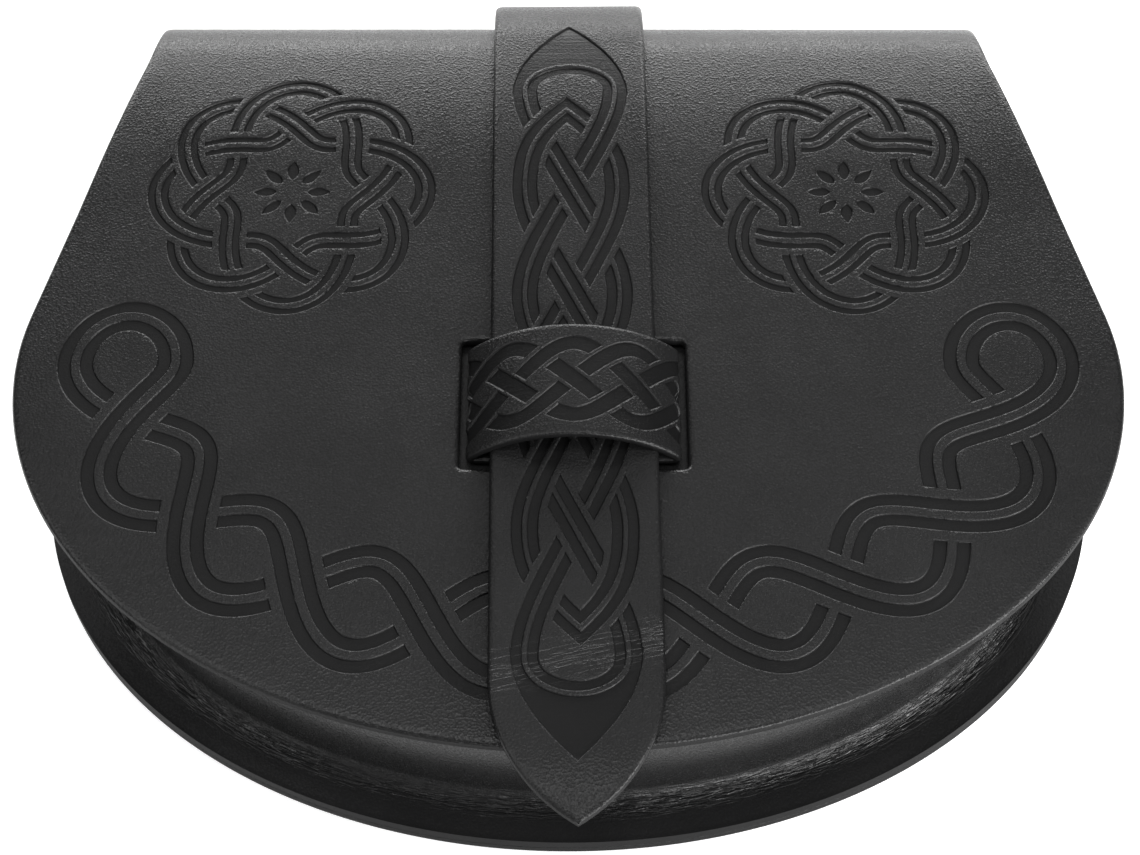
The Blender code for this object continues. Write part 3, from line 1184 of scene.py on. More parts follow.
@dataclass
class Shell:
    """The back, the fold over the top and the flap, one piece of leather with a window for the keeper."""

    sizes: PouchSizes = SIZES
    window_x: float = 0.0204
    window_y: float = 0.0136
    window_corner: float = 0.0009
    border_tool: BandTool = BandTool(strip=0.0028, ridge=0.0016, gap=0.0016)
    ring_tool: BandTool = BandTool(strip=0.0018, ridge=0.0010, gap=0.0009)
    border_inset: float = 0.0205
    border_swing: float = 0.0092
    border_crossings: int = 9
    border_top: float = 0.001
    ring_centre: Point = (0.0530, 0.0400)
    ring_radius: float = 0.0190
    ring_swing: float = 0.0066
    ring_bights: int = 8
    ring_stretch: float = 1.04
    ring_turns: int = 3
    ring_steps: int = 900
    border_steps: int = 480
    border_end_stretch: float = 1.1
    petals: int = 8
    petal_start: float = 0.0026
    petal_end: float = 0.0078
    petal_width: float = 0.0034
    lower_edge_steps: int = 110
    side_gap: float = 0.0024
    fold_gap: float = 0.0012
    window_gap: float = 0.0015
    flap_spacing: float = 0.0032
    fold_spacing: float = 0.0060
    back_spacing: float = 0.008
    lattice_start: float = -0.1056
    lattice_end: float = 0.1057
    edge_clearance: float = 0.0017

    def __post_init__(self) -> None:
        """Works out the fold once."""
        self.fold = self.sizes.fold()

    @property
    def fold_length(self) -> float:
        """Length of the leather round the fold."""
        return math.pi * self.sizes.roll_radius

    def edge(self, v: float) -> float:
        """Half the width of the flat leather at v, which starts at the flap's widest line.

        Args:
            v: the place along the flat leather.

        Returns:
            The half width.
        """
        s = self.sizes
        past = v - s.side_reach
        if past <= 0:
            return s.edge(v)
        if past < self.fold_length:
            return s.edge(s.side_reach + min(past, self.fold_length - past))
        return s.edge(s.side_reach - (past - self.fold_length))

    def outline(self) -> list[Point]:
        """The cut edge against the clock, from the flap's lowest point.

        Returns:
            The outline.
        """
        s, count = self.sizes, self.lower_edge_steps
        below = [math.pi / 2 * i / count for i in range(count)]
        right = [(s.half_width * math.sin(a), -s.bottom_reach * math.cos(a)) for a in below]
        right += [(s.edge(v), v) for v in rows_between(0.0, s.side_reach, self.side_gap)]
        fold_rows = rows_between(s.side_reach, s.side_reach + self.fold_length, self.fold_gap)
        right += [(self.edge(v), v) for v in fold_rows[1:]]
        whole = 2 * s.side_reach + self.fold_length
        back = [(u, whole - v) for u, v in right if v < s.side_reach][::-1]
        right += back
        return right + [(-u, v) for u, v in right[-2:0:-1]]

    def window(self) -> list[Point]:
        """The keeper's window, against the clock.

        Returns:
            The outline.
        """
        s, r, corner_steps = self.sizes, self.window_corner, 4
        found = []
        for quarter, (sx, sy) in enumerate([(1, -1), (1, 1), (-1, 1), (-1, -1)]):
            cx = s.strap_offset + sx * (self.window_x - r)
            cy = s.keeper_middle + sy * (self.window_y - r)
            for i in range(corner_steps + 1):
                a = math.radians(-90 + 90 * quarter + 90 / corner_steps * i)
                found.append((cx + r * math.cos(a), cy + r * math.sin(a)))
        dense = []
        for i, p in enumerate(found):
            q = found[(i + 1) % len(found)]
            gaps = max(1, round(math.dist(p, q) / self.window_gap))
            dense += [(p[0] + (q[0] - p[0]) * k / gaps, p[1] + (q[1] - p[1]) * k / gaps) for k in range(gaps)]
        return dense

    def border_line(self) -> Course:
        """The centre line of the twisted border, there along one side and back along the other.

        Returns:
            The course.
        """
        s, inset = self.sizes, self.border_inset
        wide, deep = s.half_width - inset, s.bottom_reach - inset
        side = [(-s.edge(y) + inset, y) for y in rows_between(self.border_top, 0, 0.001)[:-1]]
        bottom = [(-wide * math.cos(a), -deep * math.sin(a)) for a in rows_between(0, math.pi, 0.01)]
        path = Profile(side + bottom + [(-u, v) for u, v in side[::-1]])
        count = self.border_steps
        there, back = [], []
        for i in range(count + 1):
            v = path.length * i / count
            swing = self.border_swing * math.cos(math.pi * self.border_crossings * i / count)
            there.append(path.at(v, swing))
            back.append(path.at(v, -swing))
        first, last = self._end_turn(path, 0.0, -1), self._end_turn(path, path.length, 1)
        if self.border_crossings % 2 == 0:
            last = last[::-1]
        return Course(there + last + back[::-1] + first, [], BORDER_STEP)

    def _end_turn(self, path: Profile, v: float, way: int) -> list[Point]:
        """The round turn past one end of the border, without the points that join it on.

        Args:
            path: the border's middle.
            v: where it ends.
            way: 1 at its end, -1 at its start.

        Returns:
            The turn's points.
        """
        x, y = path.at(v, 0.0)
        ax, ay = path.at(v, 1.0)
        normal = (ax - x, ay - y)
        ahead = (normal[1] * way, -normal[0] * way)
        found = []
        for i in range(1, TURN_STEPS):
            a = math.pi * i / TURN_STEPS
            side = -math.cos(a) * self.border_swing
            out = math.sin(a) * self.border_swing * self.border_end_stretch
            found.append((x + normal[0] * side + ahead[0] * out, y + normal[1] * side + ahead[1] * out))
        return found

    def ring_line(self, side: int) -> Course:
        """The centre line of a three-strand ring plait in one half of the flap.

        Args:
            side: which half, 1 or -1.

        Returns:
            The course.
        """
        points = []
        count = self.ring_steps
        for i in range(count):
            turn = 2 * self.ring_turns * math.pi * i / count
            radius = self.ring_radius + self.ring_swing * math.cos(self.ring_bights * turn / self.ring_turns)
            u = radius * math.sin(turn)
            v = radius * math.cos(turn) * self.ring_stretch
            points.append((side * (self.ring_centre[0] + u), self.ring_centre[1] + v))
        return Course(points, [], BORDER_STEP)

    def ornament(self) -> Pressing:
        """The pressed design: a twisted border below, and a ring plait round a rosette on each side.

        Returns:
            The flap's share of the flat layout.
        """
        made = Knot([self.border_line()], self.border_tool).press()
        for side in (1, -1):
            made.join(Knot([self.ring_line(side)], self.ring_tool, flip=side < 0).press())
            for petal in range(self.petals):
                made.add_shape(self._petal(side, 2 * math.pi / self.petals * petal))
        return made

    def _petal(self, side: int, turn: float) -> list[Point]:
        """One leaf of the rosette, against the clock.

        Args:
            side: which half of the flap, 1 or -1.
            turn: the way that it points.

        Returns:
            The outline.
        """
        start, end, low = self.petal_start, self.petal_end, -self.petal_width / 2
        curve = [(start, 0), (start + 0.001, low), (end - 0.0018, low), (end, 0)]
        half = [(start, 0.0)] + bezier(curve, 10)[1:]
        shape = half + [(end, 0.0)] + [(r, -w) for r, w in half[:0:-1]]
        cos, sin = math.cos(turn), math.sin(turn)
        cu, cv = side * self.ring_centre[0], self.ring_centre[1]
        return [(cu + r * cos - w * sin, cv + r * sin + w * cos) for r, w in shape]

    def bend(self, u: float, v: float, h: float) -> Vector:
        """The place of a point of the flat leather once it is folded.

        Args:
            u: across.
            v: along, from the flap's widest line.
            h: height above the outer face.

        Returns:
            The place in the pouch's frame.
        """
        s = self.sizes
        whole = 2 * s.side_reach + self.fold_length
        if v >= whole - s.fold_centre:
            return Vector((u, whole - v + s.origin_y, s.back_level - h))
        step, fall = 0.0002, s.droop(u, v)
        slope_x = (s.droop(u + step, v) - s.droop(u - step, v)) / (2 * step)
        if v < s.fold_start:
            slope_y = (s.droop(u, v + step) - s.droop(u, v - step)) / (2 * step)
            place, normal = Vector((u, v, s.flap_level - fall)), Vector((slope_x, slope_y, 1))
        else:
            along = (v - s.fold_start) / (whole - s.fold_centre - s.fold_start) * self.fold.length
            place = Vector((u, *self.fold.at(along, -fall)))
            above = Vector((u, *self.fold.at(along, 1 - fall)))
            normal = above - place + Vector((slope_x, 0, 0))
        return place + normal.normalized() * h + Vector((0, s.origin_y, 0))

    def lattice(self) -> list[Point]:
        """Points inside the leather: close where it bends, wider where it is flat.

        Returns:
            The points.
        """
        s, flat, back = self.sizes, self.flap_spacing, self.back_spacing
        fold_end = s.side_reach + self.fold_length
        last = fold_end + s.side_reach + s.bottom_reach - back / 4
        rows = [(v, flat) for v in rows_between(-s.bottom_reach + flat / 2, s.side_reach - flat / 2, flat)]
        rows += [(v, self.fold_spacing) for v in rows_between(s.side_reach, fold_end, self.fold_gap)]
        rows += [(v, back) for v in rows_between(fold_end + back / 2, last, back)]
        found = []
        for j, (v, gap) in enumerate(rows):
            shift = gap / 2 * (j % 2)
            for u in np.arange(self.lattice_start + shift, self.lattice_end, gap):
                clear = self.edge(v) - abs(u) > self.edge_clearance and self._steep_clear(float(u), v)
                across = abs(u - s.strap_offset) - self.window_x
                along = abs(v - s.keeper_middle) - self.window_y
                if clear and max(across, along) > self.edge_clearance:
                    found.append((float(u), float(v)))
        return found

    def _steep_clear(self, u: float, v: float) -> bool:
        """Whether a point keeps clear of the round lower edges.

        Args:
            u: across.
            v: along.

        Returns:
            True if it does.
        """
        s, clearance = self.sizes, self.edge_clearance
        low = v if v < s.side_reach else 2 * s.side_reach + self.fold_length - v
        if low >= 0:
            return True
        return math.hypot(u / (s.half_width - clearance), low / (s.bottom_reach - clearance)) < 1

    def build(self) -> bpy.types.Object:
        """Cuts, presses and folds the leather.

        Returns:
            The finished piece.
        """
        outline, lattice, thickness = self.outline(), self.lattice(), self.sizes.leather
        piece = FlatLeather("flap_and_back", outline, [self.window()], lattice, thickness)
        return piece.make(self.ornament(), self.bend)


@dataclass
class Front:
    """The moulded front: a tray open at the back and at the top, with a flange round its foot."""

    sizes: PouchSizes = SIZES
    flange: float = 0.0060
    foot: float = 0.0030
    bulge: float = 0.015
    mouth: float = 0.067
    crinkle_depth: float = 0.00024
    trimmed: float = 0.008
    rim_insets: tuple[float, ...] = (0.0, 0.0014, 0.0024)
    fine_start: float = 0.0032
    fine_gap: float = 0.00022
    foot_turn: float = 0.072
    wall_steps: int = 36
    side_gap: float = 0.0010
    bottom_turn: float = 0.0100
    gather_middle: float = 0.0071
    gather_spread: float = 0.0020
    patch_length: float = 0.045
    crease_length: float = 0.0070
    crease_lean: float = 0.008
    crease_spacing: float = 0.00062
    sway_depth: float = 0.00022
    fade_top: float = 0.030
    fade_length: float = 0.012
    fade_foot: float = 0.003
    edge_round: float = 0.0006
    edge_segments: int = 4
    sharp_deg: float = 60

    def section(self) -> list[tuple[float, float, float]]:
        """Points across the moulding from the rim inwards: inset, height and distance along.

        Returns:
            The points.
        """
        s = self.sizes
        flat = (*self.rim_insets, *rows_between(self.fine_start, self.flange, self.fine_gap))
        points = [(x, s.rim_level) for x in flat]
        for a in rows_between(-math.pi / 2, 0, self.foot_turn)[1:]:
            x = self.flange + self.foot * math.cos(a)
            points.append((x, s.rim_level + self.foot * (1 + math.sin(a))))
        low, high = points.pop(), (self.flange + self.foot + self.bulge, s.face_level)
        rise = high[1] - low[1]
        steep, round_over = (low[0], low[1] + rise / 2), (low[0] + self.bulge / 3, high[1])
        points += bezier([low, steep, round_over, high], self.wall_steps) + [high]
        along, found = 0.0, []
        for i, (x, z) in enumerate(points):
            along += math.dist(points[i - 1], (x, z)) if i else 0.0
            found.append((x, z, along))
        return found

    def rim_line(self) -> list[tuple[float, float, float, float, float]]:
        """Points round the rim from the right of the mouth: x, y, the way out, and distance along.

        Returns:
            The points.
        """
        s = self.sizes
        half = []
        for y in rows_between(self.mouth + self.trimmed, 0, self.side_gap)[:-1]:
            drawn_in = y * y / (2 * s.shoulder) if y < s.shoulder else y - s.shoulder / 2
            wide = s.half_width - s.taper * drawn_in
            slope = s.taper * min(1.0, y / s.shoulder)
            length = math.hypot(1, slope)
            half.append((wide, y, 1 / length, slope / length))
        for a in rows_between(0, math.pi / 2, self.bottom_turn):
            x, y = s.half_width * math.cos(a), -s.bottom_reach * math.sin(a)
            out = (x / s.half_width**2, y / s.bottom_reach**2)
            length = math.hypot(*out)
            half.append((x, y, out[0] / length, out[1] / length))
        whole = half + [(-x, y, -nx, ny) for x, y, nx, ny in half[-2::-1]]
        along, found = 0.0, []
        for i, point in enumerate(whole):
            along += math.dist(whole[i - 1][:2], point[:2]) if i else 0.0
            found.append((*point, along))
        return found

    def gather(self, along: float, across: float) -> float:
        """How much the moulding has gathered the leather at a place on it, from 0 to 1.

        Args:
            along: distance round the rim.
            across: distance up the section.

        Returns:
            The share.
        """
        least, usual, change = 0.15, 0.75, 0.9
        band = math.exp(-(((across - self.gather_middle) / self.gather_spread) ** 2))
        patch = noise.noise(Vector((along / self.patch_length, 0.3, 5.0)))
        return band * min(1.0, max(least, usual + change * patch))

    def crease(self, along: float, across: float) -> float:
        """How far the leather stands out or in where the moulding has gathered it.

        Args:
            along: distance round the rim.
            across: distance up the section.

        Returns:
            The height of the creases.
        """
        crest, valley, sway_along, sway_across = 0.35, 1.6, 0.05, 0.02
        slanted = along / self.crease_length + across / self.crease_lean
        ridges = crest - abs(noise.noise(Vector((slanted, across / self.crease_spacing, 3.1)))) * valley
        sway = noise.noise(Vector((along / sway_along, across / sway_across, 1.0))) * self.sway_depth
        fade = min(1.0, max(0.0, (self.fade_top - across) / self.fade_length))
        fade *= min(1.0, across / self.fade_foot)
        return (self.crinkle_depth * ridges * self.gather(along, across) + sway) * fade

    def build(self) -> bpy.types.Object:
        """Moulds the leather, closes its face, thickens it and rubs down the cut edges.

        Returns:
            The finished piece.
        """
        bm = bmesh.new()
        for name in ("face_edge", "rim", "along", "across", "gather"):
            bm.verts.layers.float.new(name)
        self._mould(bm)
        self._cut_mouth(bm)
        self._close_face(bm)
        bmesh.ops.solidify(bm, geom=bm.faces[:], thickness=self.sizes.leather)
        bm.normal_update()
        self._rub_edges(bm)
        return finish_mesh("moulded_front", bm)

    def _mould(self, bm: bmesh.types.BMesh) -> None:
        """Lays the leather over the mould, and notes for each point where it lies.

        Args:
            bm: the empty mesh, with its layers.
        """
        s, section, rim = self.sizes, self.section(), self.rim_line()
        names = ("face_edge", "along", "across", "gather")
        face_edge, along_layer, across_layer, gather_layer = (bm.verts.layers.float[name] for name in names)
        bmesh.ops.create_grid(bm, x_segments=len(section) - 1, y_segments=len(rim) - 1, size=1)
        for v in bm.verts:
            column = round((v.co.x + 1) / 2 * (len(section) - 1))
            row = round((v.co.y + 1) / 2 * (len(rim) - 1))
            inset, z, across = section[column]
            x, y, nx, ny, along = rim[row]
            before, after = section[max(0, column - 1)], section[min(len(section) - 1, column + 1)]
            run, rise = after[0] - before[0], after[1] - before[1]
            steep = math.hypot(run, rise)
            out = self.crease(along, across)
            shift = inset - out * rise / steep
            v.co = (x - shift * nx, y - shift * ny + s.origin_y, z + out * run / steep)
            v[face_edge] = float(column == len(section) - 1)
            v[along_layer], v[across_layer], v[gather_layer] = along, across, self.gather(along, across)
        for v in bm.verts:
            past = max(0.0, v.co.y - s.origin_y - s.fold_start)
            v.co.z -= s.fold_drop * past**2 * (v.co.z - s.rim_level) / (s.face_level - s.rim_level)

    def _cut_mouth(self, bm: bmesh.types.BMesh) -> None:
        """Cuts the leather off straight at the mouth.

        Args:
            bm: the moulded wall.
        """
        mouth = (0, self.mouth + self.sizes.origin_y, 0)
        geometry = bm.verts[:] + bm.edges[:] + bm.faces[:]
        bmesh.ops.bisect_plane(bm, geom=geometry, plane_co=mouth, plane_no=(0, 1, 0), clear_outer=True)

    @staticmethod
    def _close_face(bm: bmesh.types.BMesh) -> None:
        """Fills the flat face inside the moulded wall, and turns the outer side out.

        Args:
            bm: the moulded wall.
        """
        face_edge = bm.verts.layers.float["face_edge"]
        top = [e for e in bm.edges if e.is_boundary and all(v[face_edge] > 0.999 for v in e.verts)]
        ends = [v for v in {v for e in top for v in e.verts} if sum(e in top for e in v.link_edges) == 1]
        top.append(bm.edges.new(ends))
        face = bmesh.ops.edgeloop_fill(bm, edges=top)["faces"]
        bmesh.ops.triangulate(bm, faces=face, quad_method="BEAUTY", ngon_method="BEAUTY")
        bmesh.ops.recalc_face_normals(bm, faces=bm.faces)
        highest = max(bm.faces, key=lambda f: f.calc_center_median().z)
        if highest.normal.z < 0:
            bmesh.ops.reverse_faces(bm, faces=bm.faces)
        bm.normal_update()

    def _rub_edges(self, bm: bmesh.types.BMesh) -> None:
        """Rounds the cut edges and marks them as rubbed.

        Args:
            bm: the thickened leather.
        """
        rim, sharpest = bm.verts.layers.float["rim"], math.radians(self.sharp_deg)
        sharp = [e for e in bm.edges if len(e.link_faces) == 2 and e.calc_face_angle() > sharpest]
        rounded = bmesh.ops.bevel(
            bm, geom=sharp, offset=self.edge_round, segments=self.edge_segments, profile=0.5,
            affect="EDGES", material=-1, clamp_overlap=True,
        )
        for v in rounded["verts"]:
            v[rim] = 1.0


@dataclass
class BeltLoop:
    """A leather strip sewn to the back at both ends, with room for a belt behind it."""

    name: str
    side: int
    sizes: PouchSizes = SIZES
    width: float = 0.028
    spacing: float = 0.096
    length: float = 0.092
    foot: float = 0.012
    ramp: float = 0.008
    top_setback: float = 0.006
    ramp_steps: int = 24
    row_gap: float = 0.0012
    edge_gap: float = 0.002
    column_gap: float = 0.008
    stitch_inset: float = 0.0035
    stitch_end: float = 0.0095

    @property
    def middle(self) -> Point:
        """Where the loop's middle lies."""
        return self.side * self.spacing / 2, self.sizes.side_reach - self.top_setback - self.length / 2

    @property
    def foot_level(self) -> float:
        """Height of the outer face of the loop's sewn feet."""
        return self.sizes.back_level - self.sizes.seat_gap - self.sizes.loop_thick

    def build(self) -> bpy.types.Object:
        """Cuts and bends the strip.

        Returns:
            The finished piece.
        """
        s = self.sizes
        half = self.length / 2
        upper = [(half - MM * i, self.foot_level) for i in range(round(self.foot / MM))]
        for i in range(self.ramp_steps + 1):
            share = i / self.ramp_steps
            blend = share * share * (3 - 2 * share)
            upper.append((half - self.foot - self.ramp * share, self.foot_level * (1 - blend)))
        path = Profile(upper + [(-y, z) for y, z in upper[::-1]])
        end, wide = path.length, self.width / 2
        rows = rows_between(0, end, self.row_gap)
        outline = strip_outline(wide, (0.0, end), rows_between(-wide, wide, self.edge_gap), rows)
        columns = rows_between(-wide + self.edge_gap, wide - self.edge_gap, self.column_gap)
        lattice = [(u, v) for v in rows[2:-2] for u in columns]
        x, y = self.middle

        def bend(u: float, v: float, h: float) -> Vector:
            """The place of a point of the flat strip, which runs down the back."""
            along, z = path.at(v, h)
            return Vector((x + u, y + along + s.origin_y, z))

        return FlatLeather(self.name + "_leather", outline, [], lattice, s.loop_thick).make(Pressing(), bend)

    def stitches(self) -> Iterable["Stitching"]:
        """The stitches that hold the upper foot, and then the lower one.

        Returns:
            The stitches of each foot, not yet laid.
        """
        x, y = self.middle
        reach, half = self.width / 2 - self.stitch_inset, self.length / 2
        for end, way in (("upper", 1), ("lower", -1)):
            near, far = y + way * (half - self.stitch_inset), y + way * (half - self.stitch_end)
            box = stitch_box(x, reach, near, far)
            yield Stitching(f"stitches_{self.name}_{end}", box, self.foot_level)


def stitch_box(middle: float, reach: float, near: float, far: float) -> list[Point]:
    """The corners of a box of stitches.

    Args:
        middle: where its middle lies across.
        reach: half its width.
        near: where its first side lies along.
        far: where its last side lies along.

    Returns:
        The corners, the first one again at the end.
    """
    left, right = middle - reach, middle + reach
    return [(left, near), (right, near), (right, far), (left, far), (left, near)]


@dataclass
class Stitching:
    """Rows of saddle stitches that hold a flat foot to the back."""

    name: str
    corners: list[Point]
    level: float
    pitch: float = 0.0042
    thread: float = 0.0004
    fill: float = 0.41
    flatness: float = 0.9
    sizes: PouchSizes = SIZES

    def build(self) -> bpy.types.Object:
        """Lays one short thread for each stitch, half sunk into the leather.

        Returns:
            The finished piece.
        """
        bm = bmesh.new()
        for start, end in zip(self.corners, self.corners[1:]):
            length = math.dist(start, end)
            count = max(1, round(length / self.pitch))
            turn = math.atan2(end[1] - start[1], end[0] - start[0])
            for i in range(count):
                share = (i + 0.5) / count
                x = start[0] + (end[0] - start[0]) * share
                y = start[1] + (end[1] - start[1]) * share
                made = bmesh.ops.create_uvsphere(bm, u_segments=8, v_segments=6, radius=1)["verts"]
                shape = (length / count * self.fill, self.thread, self.thread * self.flatness)
                bmesh.ops.scale(bm, verts=made, vec=shape)
                self._turn(bm, made, turn)
                bmesh.ops.translate(bm, verts=made, vec=(x, y + self.sizes.origin_y, self.level))
        return finish_mesh(self.name, bm)

    @staticmethod
    def _turn(bm: bmesh.types.BMesh, verts: list[bmesh.types.BMVert], angle: float) -> None:
        """Turns a stitch about its own middle."""
        bmesh.ops.rotate(bm, verts=verts, cent=(0, 0, 0), matrix=Matrix.Rotation(angle, 3, "Z"))


# Finishes


class Wire:
    """A socket of a node tree. Python's operators on it add Math nodes."""

    def __init__(self, tree: bpy.types.NodeTree, socket: bpy.types.NodeSocket) -> None:
        """Keeps the socket and its tree."""
        self.tree, self.socket = tree, socket

    def maths(self, operation: str, *values: "Wire | float", clamp: bool = False) -> "Wire":
        """Adds a Math node.

        Args:
            operation: the node's operation.
            values: its inputs in order.
            clamp: keeps the result between 0 and 1.

        Returns:
            The node's output.
        """
        node = self.tree.nodes.new("ShaderNodeMath")
        node.operation, node.use_clamp = operation, clamp
        for socket, value in zip(node.inputs, values):
            if isinstance(value, Wire):
                self.tree.links.new(value.socket, socket)
            else:
                socket.default_value = value
        return Wire(self.tree, node.outputs[0])

    def __add__(self, other: "Wire | float") -> "Wire":
        """Self plus other."""
        return self.maths("ADD", self, other)

    __radd__ = __add__

    def __sub__(self, other: "Wire | float") -> "Wire":
        """Self less other."""
        return self.maths("SUBTRACT", self, other)

    def __rsub__(self, other: float) -> "Wire":
        """Other less self."""
        return self.maths("SUBTRACT", other, self)

    def __mul__(self, other: "Wire | float") -> "Wire":
        """Self times other."""
        return self.maths("MULTIPLY", self, other)

    __rmul__ = __mul__

    def __abs__(self) -> "Wire":
        """Self without its sign."""
        return self.maths("ABSOLUTE", self)

    def between(self, low: float, high: float) -> "Wire":
        """How far self lies from low to high, kept between 0 and 1."""
        return self.maths("MULTIPLY", self - low, 1 / (high - low), clamp=True)


class Graph:
    """The node tree of one material."""

    def __init__(self, name: str) -> None:
        """Starts an empty material of that name.

        Args:
            name: the material's name.
        """
        self.material = bpy.data.materials.new(name)
        self.material.use_nodes = True
        self.tree = self.material.node_tree
        self.tree.nodes.clear()

    def add(
        self,
        kind: str,
        settings: dict[str, object] | None = None,
        values: dict[str | int, object] | None = None,
    ) -> bpy.types.Node:
        """Adds any node.

        Args:
            kind: the node's type, without its first words.
            settings: its options, which are set first.
            values: values or wires of its inputs.

        Returns:
            The node.
        """
        node = self.tree.nodes.new("ShaderNode" + kind)
        for key, setting in (settings or {}).items():
            setattr(node, key, setting)
        for key, value in (values or {}).items():
            if isinstance(value, Wire):
                self.tree.links.new(value.socket, node.inputs[key])
            else:
                node.inputs[key].default_value = value
        return node

    def wire(self, node: bpy.types.Node, output: str | int = 0) -> Wire:
        """The named output of a node."""
        return Wire(self.tree, node.outputs[output])

    def where(self) -> Wire:
        """The place on the object, in its own coordinates."""
        return self.wire(self.add("TexCoord"), "Object")

    def attribute(self, name: str) -> Wire:
        """A number that the mesh holds at each of its points."""
        return self.wire(self.add("Attribute", {"attribute_name": name}), "Fac")

    def axis(self, vector: Wire, name: str) -> Wire:
        """One coordinate of a vector, X, Y or Z."""
        return self.wire(self.add("SeparateXYZ", values={0: vector}), name)

    def shade(self, factor: Wire, dark: tuple[float, ...], light: tuple[float, ...]) -> Wire:
        """A colour from dark to light by a factor."""
        node = self.add("Mix", {"data_type": "RGBA"}, {0: factor, 6: dark, 7: light})
        return self.wire(node, 2)

    def finish(self, surface: bpy.types.Node) -> bpy.types.Material:
        """Links the surface to the output and returns the material.

        Args:
            surface: the node whose first output is the surface.

        Returns:
            The material.
        """
        output = self.add("OutputMaterial")
        self.tree.links.new(surface.outputs[0], output.inputs["Surface"])
        return self.material


@dataclass(frozen=True)
class LeatherFinish:
    """Black dyed leather: grain, mottling, smoother darker pressings, burnished edges, creases and gathers,
    and a painted reflection on the rubbed edges that face up, which lose most of theirs where they face
    sideways.

    Depths are in millimetres, sizes and places in metres, and a scale is how often a noise repeats a metre.
    """

    name: str
    grey: float = 0.008
    roughness: float = 0.37
    specular: float = 0.33
    grain_size: float = 0.00048
    grain_depth: float = 0.115
    ripple_depth: float = 0.02
    streak_depth: float = 0.0
    crease_depth: float = 0.0
    crease_place: Point = (0.0009, -0.0655)
    crease_slant: float = 0.226
    gather_depth: float = 0.0
    seed: float = 0.0
    fine_share: float = 1.9
    cloud_scale: float = 55.0
    broad_scale: float = 14.0
    ripple_scale: float = 190.0
    dark_share: tuple[float, float] = (0.45, 0.46)
    light_share: tuple[float, float] = (1.7, 1.73)
    tone_light: float = 0.3
    speck_light: float = 0.7
    least_light: float = 0.10
    pressed_shade: float = 0.3
    rim_light: float = 0.2
    pressed_smoothing: float = 0.6
    ripple_smoothing: float = 0.7
    tone_roughness: float = 0.10
    speck_roughness: float = 0.24
    rim_polish: float = 0.12
    pressed_polish: float = 0.02
    gather_polish: float = 0.14
    pressed_dullness: float = 0.25
    # A rubbed edge loses this much of its reflection where it faces sideways, and gets the next share back as
    # painted reflection where it faces up
    rim_sideways_reflection_cut: float = 0.85
    upward_shine: float = 0.75

    def make(self) -> bpy.types.Material:
        """Builds the material.

        Returns:
            The material.
        """
        g = Graph(self.name)
        where = g.where()
        place = g.wire(g.add("Mapping", values={"Vector": where, "Location": (self.seed, 0, 0)}))
        grains = g.add("TexVoronoi", values={"Vector": place, "Scale": 1 / self.grain_size})
        cells = g.wire(grains, "Distance")
        fine = self._noise(g, place, self.fine_share / self.grain_size, 2.0)
        cloudy = self._noise(g, place, self.cloud_scale, 3.0)
        broad = self._noise(g, place, self.broad_scale, 1.0)
        ripple = self._noise(g, place, self.ripple_scale, 2.0)
        pressed, rim = g.attribute("pressed"), g.attribute("rim")
        tone = (0.55 * cloudy + 0.45 * broad).between(0.3, 0.7)
        speck = (0.5 * cells + 0.5 * fine).between(0.25, 0.60)
        smooth = pressed.maths("MAXIMUM", pressed, rim)
        rough_part = 1 - self.pressed_smoothing * smooth
        shade = tone * self.tone_light + speck * self.speck_light * rough_part + self.least_light
        shade = shade * (1 - self.pressed_shade * pressed) + rim * self.rim_light
        colour = g.shade(shade, self._dye(self.dark_share), self._dye(self.light_share))
        rough = self.roughness + (tone - 0.5) * self.tone_roughness
        rough = rough - (speck - 0.5) * self.speck_roughness * rough_part
        rough = rough - rim * self.rim_polish - pressed * self.pressed_polish
        height = (cells * 0.6 + fine * 0.4) * self.grain_depth * rough_part
        height = height + ripple * self.ripple_depth * (1 - self.ripple_smoothing * smooth)
        if self.streak_depth:
            height = height + self._streaks(g, where) * self.streak_depth * pressed
        if self.crease_depth:
            height = height + self._creases(g, where) * self.crease_depth
        if self.gather_depth:
            gathers = self._gathers(g)
            height = height + gathers * self.gather_depth
            rough = rough - gathers * self.gather_polish
        bump = g.add("Bump", values={"Strength": 1.0, "Distance": MM, "Height": height})
        looks = {"Base Color": colour, "Roughness": rough, "Normal": g.wire(bump)}
        plain = g.add("BsdfPrincipled", values=looks | {"Specular IOR Level": self.specular})
        dull = g.add("BsdfPrincipled", values=looks | {"Specular IOR Level": 0.0})
        # Painted reflection by facing: rubbed edges keep their specular where they face up and lose most of
        # it where they face sideways; pressings are a little duller everywhere.
        upward = g.axis(g.wire(g.add("TexCoord"), "Normal"), "Z").between(0.0, 0.8)
        dullness_and_painted_reflection_mask = pressed * self.pressed_dullness + rim * (self.rim_sideways_reflection_cut - self.upward_shine * upward)
        return g.finish(g.add("MixShader", values={0: dullness_and_painted_reflection_mask, 1: g.wire(plain), 2: g.wire(dull)}))

    def _dye(self, share: tuple[float, float]) -> tuple[float, ...]:
        """The colour at a share of the grey, with its own share for blue."""
        return (self.grey * share[0], self.grey * share[0], self.grey * share[1], 1)

    @staticmethod
    def _noise(g: Graph, place: Wire, scale: float, detail: float) -> Wire:
        """Noise of one size."""
        values = {"Vector": place, "Scale": scale, "Detail": detail, "Roughness": 0.55}
        return g.wire(g.add("TexNoise", values=values))

    def _lines(self, g: Graph, place: Wire) -> Wire:
        """Noise in long thin shapes, from 0 where it changes sign, of a place that was stretched."""
        return self._noise(g, place, 1.0, 2.0) - 0.5

    def _streaks(self, g: Graph, where: Wire) -> Wire:
        """Fine streaks across the piece, as a tool leaves them."""
        stretched = g.wire(g.add("Mapping", values={"Vector": where, "Scale": (80, 1300, 80)}))
        return self._noise(g, stretched, 1.0, 2.0)

